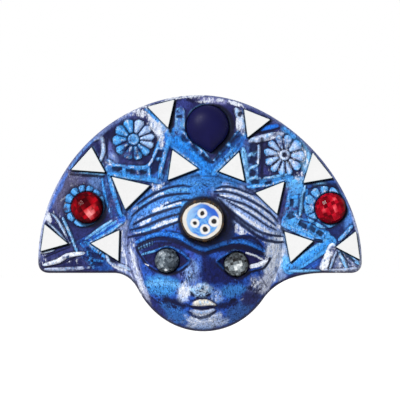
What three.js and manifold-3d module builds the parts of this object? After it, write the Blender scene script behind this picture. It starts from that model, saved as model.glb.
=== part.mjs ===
// Ceramic evil eye wall hanging: a moulded face under a sunburst crown, set with mirrors and stones.
// Millimetres, +Z up. The front faces -Y, the back lies on the wall plane Y = 0, and the origin is the
// mouth of the nail hole that the plaque hangs by. The relief is drawn in a plane of its own: x to the
// right and y up from the crown's centre, z out from the wall. One group turns it upright.
import * as THREE from 'three';
import { ConvexGeometry } from 'three/addons/geometries/ConvexGeometry.js';
import { mergeVertices } from 'three/addons/utils/BufferGeometryUtils.js';
import Module from 'manifold-3d';

// Plaque
const CROWN_RADIUS = 103;
const SHOULDER_FULLNESS_LEFT = 0.552; // reach of the outline's curve handles, 0.552 for a true circle
const SHOULDER_FULLNESS_RIGHT = 0.5;
const SLAB_THICKNESS = 10;
const EDGE_ROUND = 2;
const WING_DROP = 10.2; // lower edge of the wings, below the crown's centre
const WING_CORNER = 7.4;
// Where each wing's fillet leaves the jaw, in degrees below the head's centre, and its reach along the wing
const JAW_ANGLE_LEFT = 29.5;
const JAW_ANGLE_RIGHT = 37;
const JAW_FILLET_LEFT = 10;
const JAW_FILLET_RIGHT = 28;

// Head
const HEAD_X = 2.2;
const HEAD_Y = 4.4;
const HEAD_HALF_WIDTH = 47.6;
const TEMPLE_WIDENING = 2.4;
const HEAD_UP = 47;
const HEAD_DOWN = 51.8;
const HEAD_SINK = 4; // widest section of the head, below the slab's face
const HEAD_RISE = 22;
const JAW_MARGIN = 0.4;

// Features of the face: ridges by width and rise, lumps by half their width, length and rise
const HAIR_WIDTH = 3.6;
const HAIR_RISE = 1.3;
const BROW_WIDTH = 3;
const BROW_RISE = 1.5;
const LID_WIDTH = 2.2;
const LID_RISE = 1.8;
const NOSE_WIDTH = 9;
const NOSE_RISE = 2.8;
const NOSE_TIP_SIZE = [6, 5, 5.6];
const NOSTRIL_SIZE = [3, 2.8, 3.2];
const LIP_WIDTH = 4.6;
const LIP_RISE = 2.4;

// Back
const HOLLOW_SIDE_WALL = 11;
const HOLLOW_FACE_WALL = 10;
const HOLLOW_LIP = 1.5; // the widest part of the hollow, behind the wall plane
const NAIL_HEIGHT = 61; // nail hole above the crown's centre
const NAIL_HOLE_DIAMETER = 9;
const NAIL_HOLE_WALL = 3.5; // clay left in front of the hole
const NAIL_HOLE_TILT = 15;

// Sunburst
// Each ray: bearing of its tip in degrees from the right, and how far in from the rim it lies
const RAYS = [[173, 28], [138, 23.7], [102.5, 21.3], [70, 22], [38, 20.8], [7, 20.3]];
const VALLEY_BEARINGS = [181.5, 152, 116.5, 82, 55.5, 21, -2];
const VALLEY_GAP = 5; // valleys between the rays, out from the temples
const BAND_WIDTH = 8;
const BAND_RAIL = 2;
const BAND_RISE = 1.4;
const BAND_EDGE = 0.5;
const BAND_CELLS = 3;
const CELL_SLANT = 0.6;
const CELL_DEPTH = 1.2;
const RAIL_WIDTH = 2.4;
const RAIL_END_INSET = 3.5;
const WING_RIDGE_WIDTH = 3.4;

// Rosettes
const PETAL_RISE = 1.8;
const PETAL_SPREAD = 0.92; // share of its sector that a petal fills
const BUTTON_RISE = 1.6;
const BUTTON_EYE = 1.5; // radius of the dimple in a pierced button

// Mirror tiles
const TILE_THICKNESS = 3;
const POCKET_DEPTH = 1;
const TILE_CLEARANCE = 0.35;
const GLUE_THICKNESS = 0.6;
const GLUE_INSET = 1;

// Stones
const GEM_DIAMETER = 20;
const GEM_HEIGHT = 6.6;
const EYE_DIAMETER = 15.6;
const EYE_HEIGHT = 5.4;
const EYE_SINK = 2.4;
const STONE_SEAT_DEPTH = 0.8;
const STONE_CLEARANCE = 0.35;
const DROP_DIAMETER = 26.8;
const DROP_TIP = 16.9; // centre of the round end to the tip
const DROP_HEIGHT = 8.5;
const DROP_TURN = 7.7;
const DISC_DIAMETER = 28;
const DISC_CHAMFER = 1.2;
const DISC_THICKNESS = 4.4;
const DISC_SINK = 1.6;
const DISC_TILT = 11.5;
const TURNED_GAP = 0.25; // between the tilted disc, its glue and its seat

const ROOT = 2; // how deep a raised form is rooted in the clay under it
const RIM_STEPS = 12; // facets on each curve of the outline

const wasm = await Module();
wasm.setup();
const { Manifold, Mesh: SolidMesh } = wasm;
const radians = THREE.MathUtils.degToRad;
const HEAD_BASE = SLAB_THICKNESS - HEAD_SINK;
const POCKET_FLOOR = SLAB_THICKNESS - POCKET_DEPTH;
const VALLEY_RADIUS = HEAD_HALF_WIDTH + TEMPLE_WIDENING + VALLEY_GAP;

// Solids: closed geometry in and out of the boolean library

function bareGeometry(geometry) {
  const bare = geometry.clone();
  bare.deleteAttribute('normal');
  bare.deleteAttribute('uv');
  return mergeVertices(bare, 1e-4);
}

function solid(geometry) {
  const bare = bareGeometry(geometry);
  const triVerts = new Uint32Array(bare.index.array);
  const vertProperties = new Float32Array(bare.attributes.position.array);
  return new Manifold(new SolidMesh({ numProp: 3, vertProperties, triVerts }));
}

function geometryOf(manifold) {
  const { vertProperties, triVerts } = manifold.getMesh();
  const geometry = new THREE.BufferGeometry();
  geometry.setAttribute('position', new THREE.BufferAttribute(vertProperties, 3));
  geometry.setIndex(new THREE.BufferAttribute(triVerts, 1));
  return geometry;
}

function indexedGeometry(points, faces) {
  const geometry = new THREE.BufferGeometry().setFromPoints(points);
  geometry.setIndex(faces.flat());
  return geometry;
}

// Closes a stack of rings, each with as many points, into one tube with flat ends
function ringStack(rings) {
  const count = rings[0].length;
  const faces = [];
  for (let r = 0; r + 1 < rings.length; r += 1) {
    for (let k = 0; k < count; k += 1) {
      const a = r * count + k;
      const b = r * count + ((k + 1) % count);
      faces.push([a, b, b + count], [a, b + count, a + count]);
    }
  }
  const last = (rings.length - 1) * count;
  for (let k = 1; k + 1 < count; k += 1) {
    faces.push([0, k + 1, k], [last, last + k, last + k + 1]);
  }
  return indexedGeometry(rings.flat(), faces);
}

// Places in the drawing plane

function polar(bearing, radius) {
  return new THREE.Vector2(Math.cos(radians(bearing)), Math.sin(radians(bearing))).multiplyScalar(radius);
}

// Where a line from the crown's centre leaves the outline
function rimRadius(bearing) {
  const heading = polar(bearing, 1);
  const rim = plaqueOutline().getPoints(RIM_STEPS);
  let reach = 0;
  rim.forEach((start, i) => {
    const end = rim[(i + 1) % rim.length];
    const before = heading.cross(start);
    const after = heading.cross(end);
    if (before * after > 0 || before === after) return;
    const crossing = start.clone().lerp(end, before / (before - after));
    reach = Math.max(reach, crossing.dot(heading));
  });
  return reach;
}

function fromRim(bearing, inset) {
  return polar(bearing, rimRadius(bearing) - inset);
}

function fromHead(bearing, offset) {
  return polar(bearing, VALLEY_RADIUS + offset);
}

function onFace([x, y]) {
  return new THREE.Vector2(HEAD_X + x, HEAD_Y + y);
}

// Form of the head: an egg that widens to the temples, with broad swells and hollows for the features

function headHalfWidth(v) {
  return HEAD_HALF_WIDTH - JAW_MARGIN + TEMPLE_WIDENING * THREE.MathUtils.smoothstep(v, -0.5, 0.2);
}

function headHalfHeight(v) {
  return v > 0 ? HEAD_UP : HEAD_DOWN - JAW_MARGIN;
}

// Each swell: place on the face, spread across and along, height
const FACE_SWELLS = [
  { at: [-23, -6], spread: [12, 8], height: -2.4 }, // eye sockets
  { at: [22, -8], spread: [12, 8], height: -2.4 },
  { at: [-25.5, -23], spread: [11, 10], height: 1.8 }, // cheeks
  { at: [25, -24], spread: [11, 10], height: 1.8 },
  { at: [-1, -34], spread: [12, 8], height: 1.6 }, // muzzle
  { at: [1, -45], spread: [9, 6], height: 2.4 }, // chin
];

function faceSwell(x, y) {
  let sum = 0;
  for (const { at, spread, height } of FACE_SWELLS) {
    const place = onFace(at);
    sum += height * Math.exp(-(((x - place.x) / spread[0]) ** 2) - ((y - place.y) / spread[1]) ** 2);
  }
  return sum;
}

function faceHeight({ x, y }) {
  const v = (y - HEAD_Y) / headHalfHeight(y - HEAD_Y);
  const u = (x - HEAD_X) / headHalfWidth(v);
  const dome = Math.sqrt(Math.max(0, 1 - u * u - v * v));
  return Math.max(SLAB_THICKNESS, HEAD_BASE + HEAD_RISE * dome + faceSwell(x, y) * dome);
}

function slabHeight() {
  return SLAB_THICKNESS;
}

// Plaque and head

// A point of the jaw out from the head's centre line, and the elbow where its tangent meets the wing's edge
function jawFillet(angle) {
  const x = HEAD_HALF_WIDTH * Math.cos(angle);
  const y = HEAD_Y - HEAD_DOWN * Math.sin(angle);
  const climb = (-WING_DROP - y) / (HEAD_DOWN * Math.cos(angle));
  return { x, y, elbow: x + climb * HEAD_HALF_WIDTH * Math.sin(angle) };
}

function plaqueOutline() {
  const tip = WING_CORNER - WING_DROP;
  const left = SHOULDER_FULLNESS_LEFT * CROWN_RADIUS;
  const right = SHOULDER_FULLNESS_RIGHT * CROWN_RADIUS;
  const [angleLeft, angleRight] = [JAW_ANGLE_LEFT, JAW_ANGLE_RIGHT].map(radians);
  const elbowLeft = HEAD_X - jawFillet(angleLeft).elbow;
  const jaw = jawFillet(angleRight);
  const elbowRight = HEAD_X + jaw.elbow;
  const outline = new THREE.Shape();
  outline.moveTo(-CROWN_RADIUS, tip);
  outline.bezierCurveTo(-CROWN_RADIUS, tip + left, -left, CROWN_RADIUS, 0, CROWN_RADIUS);
  outline.bezierCurveTo(right, CROWN_RADIUS, CROWN_RADIUS, tip + right, CROWN_RADIUS, tip);
  outline.quadraticCurveTo(CROWN_RADIUS, -WING_DROP, CROWN_RADIUS - WING_CORNER, -WING_DROP);
  outline.lineTo(elbowRight + JAW_FILLET_RIGHT, -WING_DROP);
  outline.quadraticCurveTo(elbowRight, -WING_DROP, HEAD_X + jaw.x, jaw.y);
  outline.absellipse(HEAD_X, HEAD_Y, HEAD_HALF_WIDTH, HEAD_DOWN, -angleRight, angleLeft - Math.PI, true);
  outline.quadraticCurveTo(elbowLeft, -WING_DROP, elbowLeft - JAW_FILLET_LEFT, -WING_DROP);
  outline.lineTo(WING_CORNER - CROWN_RADIUS, -WING_DROP);
  outline.quadraticCurveTo(-CROWN_RADIUS, -WING_DROP, -CROWN_RADIUS, tip);
  return outline;
}

function slab() {
  const geometry = new THREE.ExtrudeGeometry(plaqueOutline(), {
    depth: SLAB_THICKNESS - 2 * EDGE_ROUND,
    bevelThickness: EDGE_ROUND,
    bevelSize: EDGE_ROUND,
    bevelOffset: -EDGE_ROUND,
    bevelSegments: 2,
    curveSegments: RIM_STEPS,
  });
  return geometry.translate(0, 0, EDGE_ROUND);
}

function head() {
  const egg = bareGeometry(new THREE.SphereGeometry(1, 40, 30).rotateX(Math.PI / 2));
  const position = egg.attributes.position;
  for (let i = 0; i < position.count; i += 1) {
    const [u, v, w] = [position.getX(i), position.getY(i), position.getZ(i)];
    const x = HEAD_X + u * headHalfWidth(v);
    const y = HEAD_Y + v * headHalfHeight(v);
    const rise = HEAD_RISE + faceSwell(x, y);
    const z = HEAD_BASE + w * (w > 0 ? rise : HEAD_BASE - 1);
    position.setXYZ(i, x, y, z);
  }
  return egg;
}

// Ridges: an elliptical section carried along a smooth path over the clay, tapering to its tips

const SECTION_SIDES = 6;

function ridge(path, { width, rise, base, tips = [0.35, 0.35], steps = 8 }) {
  const curve = new THREE.SplineCurve(path);
  const rings = [];
  for (let i = 0; i <= steps; i += 1) {
    const t = i / steps;
    const middle = 2 - (tips[0] + tips[1]) / 2;
    const taper = tips[0] * (1 - t) ** 2 + 2 * middle * t * (1 - t) + tips[1] * t * t;
    const point = curve.getPointAt(t);
    const along = curve.getTangentAt(t);
    const ground = base(point);
    const ring = [];
    for (let k = 0; k < SECTION_SIDES; k += 1) {
      const angle = (2 * Math.PI * k) / SECTION_SIDES;
      const side = (width / 2) * taper * Math.cos(angle);
      const lift = Math.sin(angle) > 0 ? rise * taper : ROOT;
      const z = ground + lift * Math.sin(angle);
      ring.push(new THREE.Vector3(point.x - along.y * side, point.y + along.x * side, z));
    }
    rings.push(ring);
  }
  return ringStack(rings);
}

function faceRidge(places, options) {
  return ridge(places.map(onFace), { base: faceHeight, ...options });
}

function bump(place, [across, along, rise]) {
  const lump = new THREE.SphereGeometry(1, 12, 8).scale(across, along, rise);
  return lump.translate(place.x, place.y, faceHeight(place));
}

// Hair, brows, lids, nose and mouth, in millimetres from the head's centre

const HAIR_STRANDS = [
  [[-11.8, 42.6], [-22.6, 41.3], [-32.8, 37.5], [-42.9, 29.9]],
  [[-8.6, 38.2], [-18.1, 38.2], [-27.7, 35], [-37.2, 29.3], [-43.6, 23.5]],
  [[-12.4, 32.4], [-21.3, 31.2], [-30.8, 26.1], [-40.4, 19.1], [-46.1, 15.9]],
  [[-14.9, 26.1], [-24.5, 22.3], [-34, 17.8], [-42.9, 13.4]],
  [[-16.2, 21], [-26.4, 17.2], [-37.2, 12.7], [-46.7, 10.2]],
  [[8, 37.5], [18.1, 37.5], [28.3, 34.3], [37.2, 28], [46.1, 19.7]],
  [[11.1, 34.7], [21.9, 32.4], [31.5, 28], [39.8, 22.3], [46.7, 15.9]],
  [[13, 31.8], [21.9, 28], [30.8, 22.6], [39.1, 17.2], [46, 12.2]],
  [[14.3, 28], [23.2, 21.3], [32.1, 15.3], [41, 9.5], [46.8, 7.2]],
  [[18.1, 19.7], [25.8, 13.4], [33.4, 8.3], [39.8, 4.5]],
];
const BROWS = [
  [-42.9, 2.5], [-34, 7], [-24.5, 8.9], [-11.8, 6.4], [-0.3, 0.6],
  [13.7, 4.5], [23.2, 6.4], [32.8, 3.2], [37.8, 0],
];
const EYES = [
  {
    side: 'left',
    at: [-22.9, -6.4],
    corners: [[-38.5, -3.2], [-8.6, -7.6]],
    upper: [[-40.5, -1.5], [-32, 0.6], [-23, 2.6], [-15, -0.4], [-8.6, -6.6]],
    lower: [[-38.5, -3.2], [-31, -11], [-23, -15.4], [-15, -13.4], [-8.6, -8]],
  },
  {
    side: 'right',
    at: [20.7, -8.6],
    corners: [[41.7, -4.5], [8.6, -7.6]],
    upper: [[8.6, -6.8], [14, -1.8], [21, 0.4], [30, -1.2], [41.7, -4.5]],
    lower: [[8.6, -8.4], [14, -15], [21, -17.6], [31, -13.4], [41.7, -5.4]],
  },
];
const NOSE_BRIDGE = [[-0.3, 1], [-0.5, -8], [-0.9, -16], [-1, -23]];
const NOSE_TIP = [-1, -24];
const NOSTRIL_WINGS = [[-6.6, -26], [4.8, -26]];
const UPPER_LIP = [[-9.9, -34.2], [-5, -31.6], [-1, -32.6], [3.4, -31.6], [8.6, -34.2]];
const LOWER_LIP = [[-8.2, -36.8], [-1, -39.2], [7, -36.8]];

function faceRelief() {
  const hair = { width: HAIR_WIDTH, rise: HAIR_RISE };
  const brow = { width: BROW_WIDTH, rise: BROW_RISE, steps: 18 };
  const lid = { width: LID_WIDTH, rise: LID_RISE };
  const nose = { width: NOSE_WIDTH, rise: NOSE_RISE, tips: [0.4, 1.2], steps: 6 };
  const lip = { width: LIP_WIDTH, rise: LIP_RISE, tips: [0.2, 0.2] };
  const ridges = [
    ...HAIR_STRANDS.map((path) => faceRidge(path, hair)),
    faceRidge(BROWS, brow),
    ...EYES.flatMap(({ upper, lower }) => [faceRidge(upper, lid), faceRidge(lower, lid)]),
    faceRidge(NOSE_BRIDGE, nose),
    faceRidge(UPPER_LIP, lip),
    faceRidge(LOWER_LIP, lip),
  ];
  const nostrils = NOSTRIL_WINGS.map((wing) => bump(onFace(wing), NOSTRIL_SIZE));
  return [...ridges, bump(onFace(NOSE_TIP), NOSE_TIP_SIZE), ...nostrils];
}

// Crown relief: a zigzag of ladder bands round the head, rails from each ray tip to the rim, rosettes

const rayTips = RAYS.map(([bearing, inset]) => fromRim(bearing, inset));
const valleys = VALLEY_BEARINGS.map((bearing) => polar(bearing, VALLEY_RADIUS));

function alongBand(geometry, from, to, level) {
  const heading = to.clone().sub(from).angle();
  return geometry.rotateZ(heading).translate(from.x, from.y, level);
}

// A band lies along the outer side of the line from a valley to a ray tip, or back to the next valley
function bandPlate(from, to) {
  const length = from.distanceTo(to);
  const plate = new THREE.Shape();
  plate.moveTo(0, 0).lineTo(length, 0).lineTo(length, BAND_WIDTH).lineTo(0, BAND_WIDTH);
  const geometry = new THREE.ExtrudeGeometry(plate, {
    depth: ROOT + BAND_RISE - 2 * BAND_EDGE,
    bevelThickness: BAND_EDGE,
    bevelSize: BAND_EDGE,
    bevelOffset: -BAND_EDGE,
    bevelSegments: 1,
  });
  return alongBand(geometry, from, to, SLAB_THICKNESS - ROOT + BAND_EDGE);
}

// Sunk cells between the rungs of a band, each a slanted four-sided recess
function bandCells(from, to) {
  const pitch = (from.distanceTo(to) - BAND_WIDTH) / BAND_CELLS;
  const [low, high] = [BAND_RAIL, BAND_WIDTH - BAND_RAIL];
  const cells = [];
  for (let i = 0; i < BAND_CELLS; i += 1) {
    const start = (BAND_WIDTH + BAND_RAIL) / 2 + i * pitch;
    const end = start + pitch - BAND_RAIL;
    const cell = new THREE.Shape();
    cell.moveTo(start - CELL_SLANT, low).lineTo(end - CELL_SLANT, low);
    cell.lineTo(end + CELL_SLANT, high).lineTo(start + CELL_SLANT, high);
    const cutter = new THREE.ExtrudeGeometry(cell, { depth: 2 * CELL_DEPTH, bevelEnabled: false });
    cells.push(alongBand(cutter, from, to, SLAB_THICKNESS + BAND_RISE - CELL_DEPTH));
  }
  return cells;
}

// Rails run from a ray tip to the rim on both sides of the tile there: bearings of their outer ends
const RAIL_ENDS = [
  [162.5, 182.5], [131, 149.5], [113, 97], [75.5, 58], [45.5, 29], [11.5, -4.5],
];
// Ridges of the wings under the crown: from and to, each a bearing and a place in from the rim
const WING_RIDGES = [
  [[182.6, 3.7], [178.1, 28]],
  [[184.5, 3.5], [185.1, 30]],
  [[3.6, 20.6], [-5.2, 23]],
  [[2.9, 15.6], [-4.3, 9]],
  [[2.4, 13.7], [-2.9, 3.5]],
];

function petal(centre, direction, inner, outer, sector) {
  const shape = bareGeometry(new THREE.SphereGeometry(1, 6, 6));
  const position = shape.attributes.position;
  const halfAngle = (PETAL_SPREAD * sector) / 2;
  for (let i = 0; i < position.count; i += 1) {
    const [u, v, w] = [position.getX(i), position.getY(i), position.getZ(i)];
    const radius = (inner + outer) / 2 + (v * (outer - inner)) / 2;
    const plump = Math.max(1 - v * v, 0.04) ** -0.2; // blunter ends than an egg's
    const side = u * plump * radius * Math.tan(halfAngle);
    const x = centre.x + radius * Math.cos(direction) + side * Math.sin(direction);
    const y = centre.y + radius * Math.sin(direction) - side * Math.cos(direction);
    position.setXYZ(i, x, y, SLAB_THICKNESS + w * plump * (w > 0 ? PETAL_RISE : ROOT));
  }
  return shape;
}

// Each rosette: bearing and place in from the rim, petals, inner and outer radius, centre button
const ROSETTES = [
  { bearing: 119.5, inset: 17, petals: 11, inner: 4.2, outer: 12.8, button: 3.9 },
  { bearing: 50.4, inset: 15.1, petals: 11, inner: 4, outer: 13.2, button: 3.9, pierced: true },
  { bearing: 156.2, inset: 21.5, petals: 12, inner: 5, outer: 13 },
  { bearing: 22.5, inset: 15.8, petals: 12, inner: 5, outer: 12.7 },
];
function button(centre, radius, pierced) {
  const top = SLAB_THICKNESS + BUTTON_RISE;
  const root = SLAB_THICKNESS - ROOT;
  const middle = pierced ? [[BUTTON_EYE, top], [0, SLAB_THICKNESS]] : [[0, top + BUTTON_EYE / 2]];
  const rim = [[radius, top - 0.4 * BUTTON_RISE], [0.8 * radius, top]];
  const profile = [[0, root], [radius, root], ...rim, ...middle];
  const points = profile.map(([r, z]) => new THREE.Vector2(r, z));
  return new THREE.LatheGeometry(points, 14).rotateX(Math.PI / 2).translate(centre.x, centre.y, 0);
}

function rosette({ bearing, inset, petals, inner, outer, button: radius, pierced }) {
  const centre = fromRim(bearing, inset);
  const sector = (2 * Math.PI) / petals;
  const forms = [];
  for (let i = 0; i < petals; i += 1) forms.push(petal(centre, i * sector, inner, outer, sector));
  if (radius) forms.push(button(centre, radius, pierced));
  return forms;
}

function crownRelief() {
  const forms = [];
  rayTips.forEach((tip, i) => {
    forms.push(bandPlate(valleys[i], tip), bandPlate(tip, valleys[i + 1]));
    for (const bearing of RAIL_ENDS[i]) {
      const rail = { width: RAIL_WIDTH, rise: BAND_RISE, base: slabHeight, tips: [0.9, 0.7], steps: 2 };
      forms.push(ridge([tip, fromRim(bearing, RAIL_END_INSET)], rail));
    }
  });
  for (const ends of WING_RIDGES) {
    const path = ends.map(([bearing, inset]) => fromRim(bearing, inset));
    forms.push(ridge(path, { width: WING_RIDGE_WIDTH, rise: BAND_RISE, base: slabHeight, steps: 3 }));
  }
  return forms.concat(ROSETTES.flatMap(rosette));
}

// Inlays and their seats. A tile is cut to a triangle, and its pocket and glue are the same triangle
// grown or shrunk evenly on all sides

const RAY_TILES = [
  [[168, 1.3], [174.2, 18.3], [177.9, 1.4]],
  [[134.6, 3.8], [145.9, 2.9], [138.2, 21]],
  [[109.3, 1.3], [99.2, 1.4], [103.9, 18.2]],
  [[73.4, 3.5], [62.9, 2.2], [68.3, 19.3]],
  [[42.8, 1.4], [30.8, 1.3], [35.6, 18.4]],
  [[4.2, 15.9], [9.4, 1.3], [-0.9, 1.3]],
].map((corners) => corners.map(([bearing, inset]) => fromRim(bearing, inset)));

// The outer corner of a fan tile lies in from the rim, the other two lie out from the valleys
const FAN_TILES = [
  { tip: [172.9, 32.7], feet: [[161.5, -1], [182.8, -3.1]] },
  { tip: [137.7, 26], feet: [[125, 0.5], [147.5, 1.2]] },
  { tip: [104.4, 32.5], feet: [[91.3, 1.3], [112.6, -2]] },
  { tip: [69.6, 30], feet: [[77.5, 0.7], [59.6, 1]] },
  { tip: [41.8, 27.1], feet: [[49.1, -1.1], [29.2, 1.1]] },
  { tip: [8, 29.3], feet: [[16.8, 1.1], [-3.2, 2.6]] },
].map(({ tip, feet }) => [fromRim(...tip), ...feet.map((foot) => fromHead(...foot))]);

// A triangle grown evenly is the triangle scaled about the centre of its inscribed circle
function grownTriangle(corners, growth) {
  const [a, b, c] = corners;
  const sides = [b.distanceTo(c), c.distanceTo(a), a.distanceTo(b)];
  const perimeter = sides[0] + sides[1] + sides[2];
  const centre = new THREE.Vector2();
  corners.forEach((corner, i) => centre.addScaledVector(corner, sides[i] / perimeter));
  const area = Math.abs((b.x - a.x) * (c.y - a.y) - (c.x - a.x) * (b.y - a.y)) / 2;
  const inscribed = (2 * area) / perimeter;
  const scale = (inscribed + growth) / inscribed;
  return corners.map((corner) => corner.clone().sub(centre).multiplyScalar(scale).add(centre));
}

function prism(points, thickness, floor) {
  const shape = new THREE.Shape(points);
  return new THREE.ExtrudeGeometry(shape, { depth: thickness, bevelEnabled: false }).translate(0, 0, floor);
}

function cylinder(radius, height, sides) {
  const upright = new THREE.CylinderGeometry(radius, radius, height, sides).rotateX(Math.PI / 2);
  return upright.translate(0, 0, height / 2);
}

// Flat-backed faceted stone: rings of facet corners, each turned half a step from the last
function facetedStone(diameter, height) {
  const rings = [[1, 0, 16], [1, 0.2, 16], [0.84, 0.55, 12], [0.56, 0.84, 8], [0.26, 1, 6]];
  const points = [];
  rings.forEach(([share, level, count], ring) => {
    for (let k = 0; k < count; k += 1) {
      const angle = (2 * Math.PI * (k + (ring > 1 ? ring / 2 : 0))) / count;
      const radius = (share * diameter) / 2;
      points.push(new THREE.Vector3(radius * Math.cos(angle), radius * Math.sin(angle), level * height));
    }
  });
  return new ConvexGeometry(points);
}

// Outline of the drop: a circle, with two tangents that meet at the tip below it
function dropOutline(growth, sides) {
  const radius = DROP_DIAMETER / 2 + growth;
  const tangent = Math.acos(Math.min(1, radius / (DROP_TIP + growth)));
  const points = [];
  for (let k = 0; k < sides; k += 1) {
    const angle = (2 * Math.PI * k) / sides;
    const fromTip = Math.min(angle, 2 * Math.PI - angle);
    const reach = fromTip < tangent ? radius / Math.cos(tangent - fromTip) : radius;
    const heading = angle - Math.PI / 2 + radians(DROP_TURN);
    points.push(new THREE.Vector2(reach * Math.cos(heading), reach * Math.sin(heading)));
  }
  return points;
}

const DROP_SIDES = 36;
const DROP_GIRDLE = 1.6;

function dropCabochon() {
  const outline = dropOutline(0, DROP_SIDES);
  const ringAt = (share, z) => outline.map(({ x, y }) => new THREE.Vector3(share * x, share * y, z));
  const rings = [ringAt(1, 0)];
  for (const angle of [0, 18, 36, 54, 72, 84]) {
    const dome = (DROP_HEIGHT - DROP_GIRDLE) * Math.sin(radians(angle));
    rings.push(ringAt(Math.cos(radians(angle)), DROP_GIRDLE + dome));
  }
  return ringStack(rings);
}

function glazedDisc() {
  const base = DISC_DIAMETER / 2;
  const face = base - DISC_CHAMFER;
  const profile = [[0, 0], [base, 0], [base, DISC_THICKNESS / 2], [face, 0.9 * DISC_THICKNESS],
    [0.92 * face, DISC_THICKNESS], [0, DISC_THICKNESS]];
  const points = profile.map(([r, z]) => new THREE.Vector2(r, z));
  return new THREE.LatheGeometry(points, 36).rotateX(Math.PI / 2);
}

// Materials

function finish(color, roughness, metalness = 0) {
  return new THREE.MeshStandardMaterial({ color, roughness, metalness });
}

const painted = finish(0x2c5db4, 0.5);
const mirror = finish(0xf2f3f4, 0.05, 1);
const redGlass = finish(0xb3101f, 0.08);
const greyGlass = finish(0x8c9498, 0.1);
const navyGlass = finish(0x17164f, 0.35);
const glaze = finish(0xf1ece4, 0.2);
const glue = finish(0xd8d2c0, 0.6);

// Assembly: inlays first, each with the cutter of its seat, then the clay that they are set in

const wallHanging = new THREE.Group();
wallHanging.rotation.x = Math.PI / 2;
wallHanging.position.set(-HEAD_X, 0, -NAIL_HEIGHT);
const cutters = [];
const CUT_HEIGHT = 40; // reach of a seat's cutter above its floor, clear of all relief

function place(name, geometry, material, parent = wallHanging) {
  const mesh = new THREE.Mesh(bareGeometry(geometry), material);
  mesh.name = name;
  parent.add(mesh);
  return mesh;
}

function setTile(name, number, corners) {
  const pocket = grownTriangle(corners, TILE_CLEARANCE);
  const pad = grownTriangle(corners, -GLUE_INSET);
  cutters.push(solid(prism(pocket, CUT_HEIGHT, POCKET_FLOOR)));
  place(`glue_${name}_${number}`, prism(pad, GLUE_THICKNESS, POCKET_FLOOR), glue);
  place(`mirror_${name}_${number}`, prism(corners, TILE_THICKNESS, POCKET_FLOOR + GLUE_THICKNESS), mirror);
}

RAY_TILES.forEach((corners, i) => setTile('ray', i + 1, corners));
FAN_TILES.forEach((corners, i) => setTile('fan', i + 1, corners));

function setStone(name, at, floor, diameter, height, material) {
  const radius = diameter / 2;
  const seat = cylinder(radius + STONE_CLEARANCE, CUT_HEIGHT, 32).translate(at.x, at.y, floor);
  cutters.push(solid(seat));
  const pad = place(`glue_${name}`, cylinder(radius - GLUE_INSET, GLUE_THICKNESS, 20), glue);
  pad.position.set(at.x, at.y, floor);
  const stone = place(name, facetedStone(diameter, height), material);
  stone.position.set(at.x, at.y, floor + GLUE_THICKNESS);
}

// Red stones sit a little off the middle of their rosettes: bearing and place in from the rim
const GEM_PLACES = { left: [156.3, 23.4], right: [20.5, 12] };
for (const [side, [bearing, inset]] of Object.entries(GEM_PLACES)) {
  const floor = SLAB_THICKNESS - STONE_SEAT_DEPTH;
  setStone(`red_gem_${side}`, fromRim(bearing, inset), floor, GEM_DIAMETER, GEM_HEIGHT, redGlass);
}

for (const { side, at, corners, upper, lower } of EYES) {
  const centre = onFace(at);
  const floor = faceHeight(centre) - EYE_SINK;
  const [outer, inner] = corners.map(onFace);
  const almond = new THREE.Shape();
  almond.moveTo(outer.x, outer.y);
  almond.quadraticCurveTo(onFace(upper[2]).x, onFace(upper[2]).y + 1, inner.x, inner.y);
  almond.quadraticCurveTo(onFace(lower[2]).x, onFace(lower[2]).y - 1, outer.x, outer.y);
  const socket = { depth: CUT_HEIGHT, bevelEnabled: false, curveSegments: 8 };
  cutters.push(solid(new THREE.ExtrudeGeometry(almond, socket).translate(0, 0, floor + STONE_SEAT_DEPTH)));
  setStone(`eye_stone_${side}`, centre, floor, EYE_DIAMETER, EYE_HEIGHT, greyGlass);
}

const DROP_PLACE = [86.7, 19.5]; // bearing, in from the rim
const dropCentre = fromRim(...DROP_PLACE);
cutters.push(solid(prism(dropOutline(STONE_CLEARANCE, DROP_SIDES), CUT_HEIGHT, 0)
  .translate(dropCentre.x, dropCentre.y, POCKET_FLOOR)));
place('glue_drop', prism(dropOutline(-GLUE_INSET, DROP_SIDES), GLUE_THICKNESS, 0), glue)
  .position.set(dropCentre.x, dropCentre.y, POCKET_FLOOR);
place('blue_drop', dropCabochon(), navyGlass)
  .position.set(dropCentre.x, dropCentre.y, POCKET_FLOOR + GLUE_THICKNESS);

const DISC_PLACE = [-0.6, 18.8];
const discCentre = onFace(DISC_PLACE);
const discSeat = new THREE.Group();
discSeat.position.set(discCentre.x, discCentre.y, faceHeight(discCentre) - DISC_SINK);
discSeat.rotation.x = -radians(DISC_TILT);
discSeat.updateMatrix();
wallHanging.add(discSeat);
const discRadius = DISC_DIAMETER / 2;
const discCut = cylinder(discRadius + STONE_CLEARANCE, CUT_HEIGHT, 36).applyMatrix4(discSeat.matrix);
cutters.push(solid(discCut));
const discGlue = place('glue_disc', cylinder(discRadius - GLUE_INSET, GLUE_THICKNESS, 24), glue, discSeat);
discGlue.position.z = TURNED_GAP;
const disc = place('forehead_disc', glazedDisc(), glaze, discSeat);
disc.position.z = GLUE_THICKNESS + 2 * TURNED_GAP;

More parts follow.
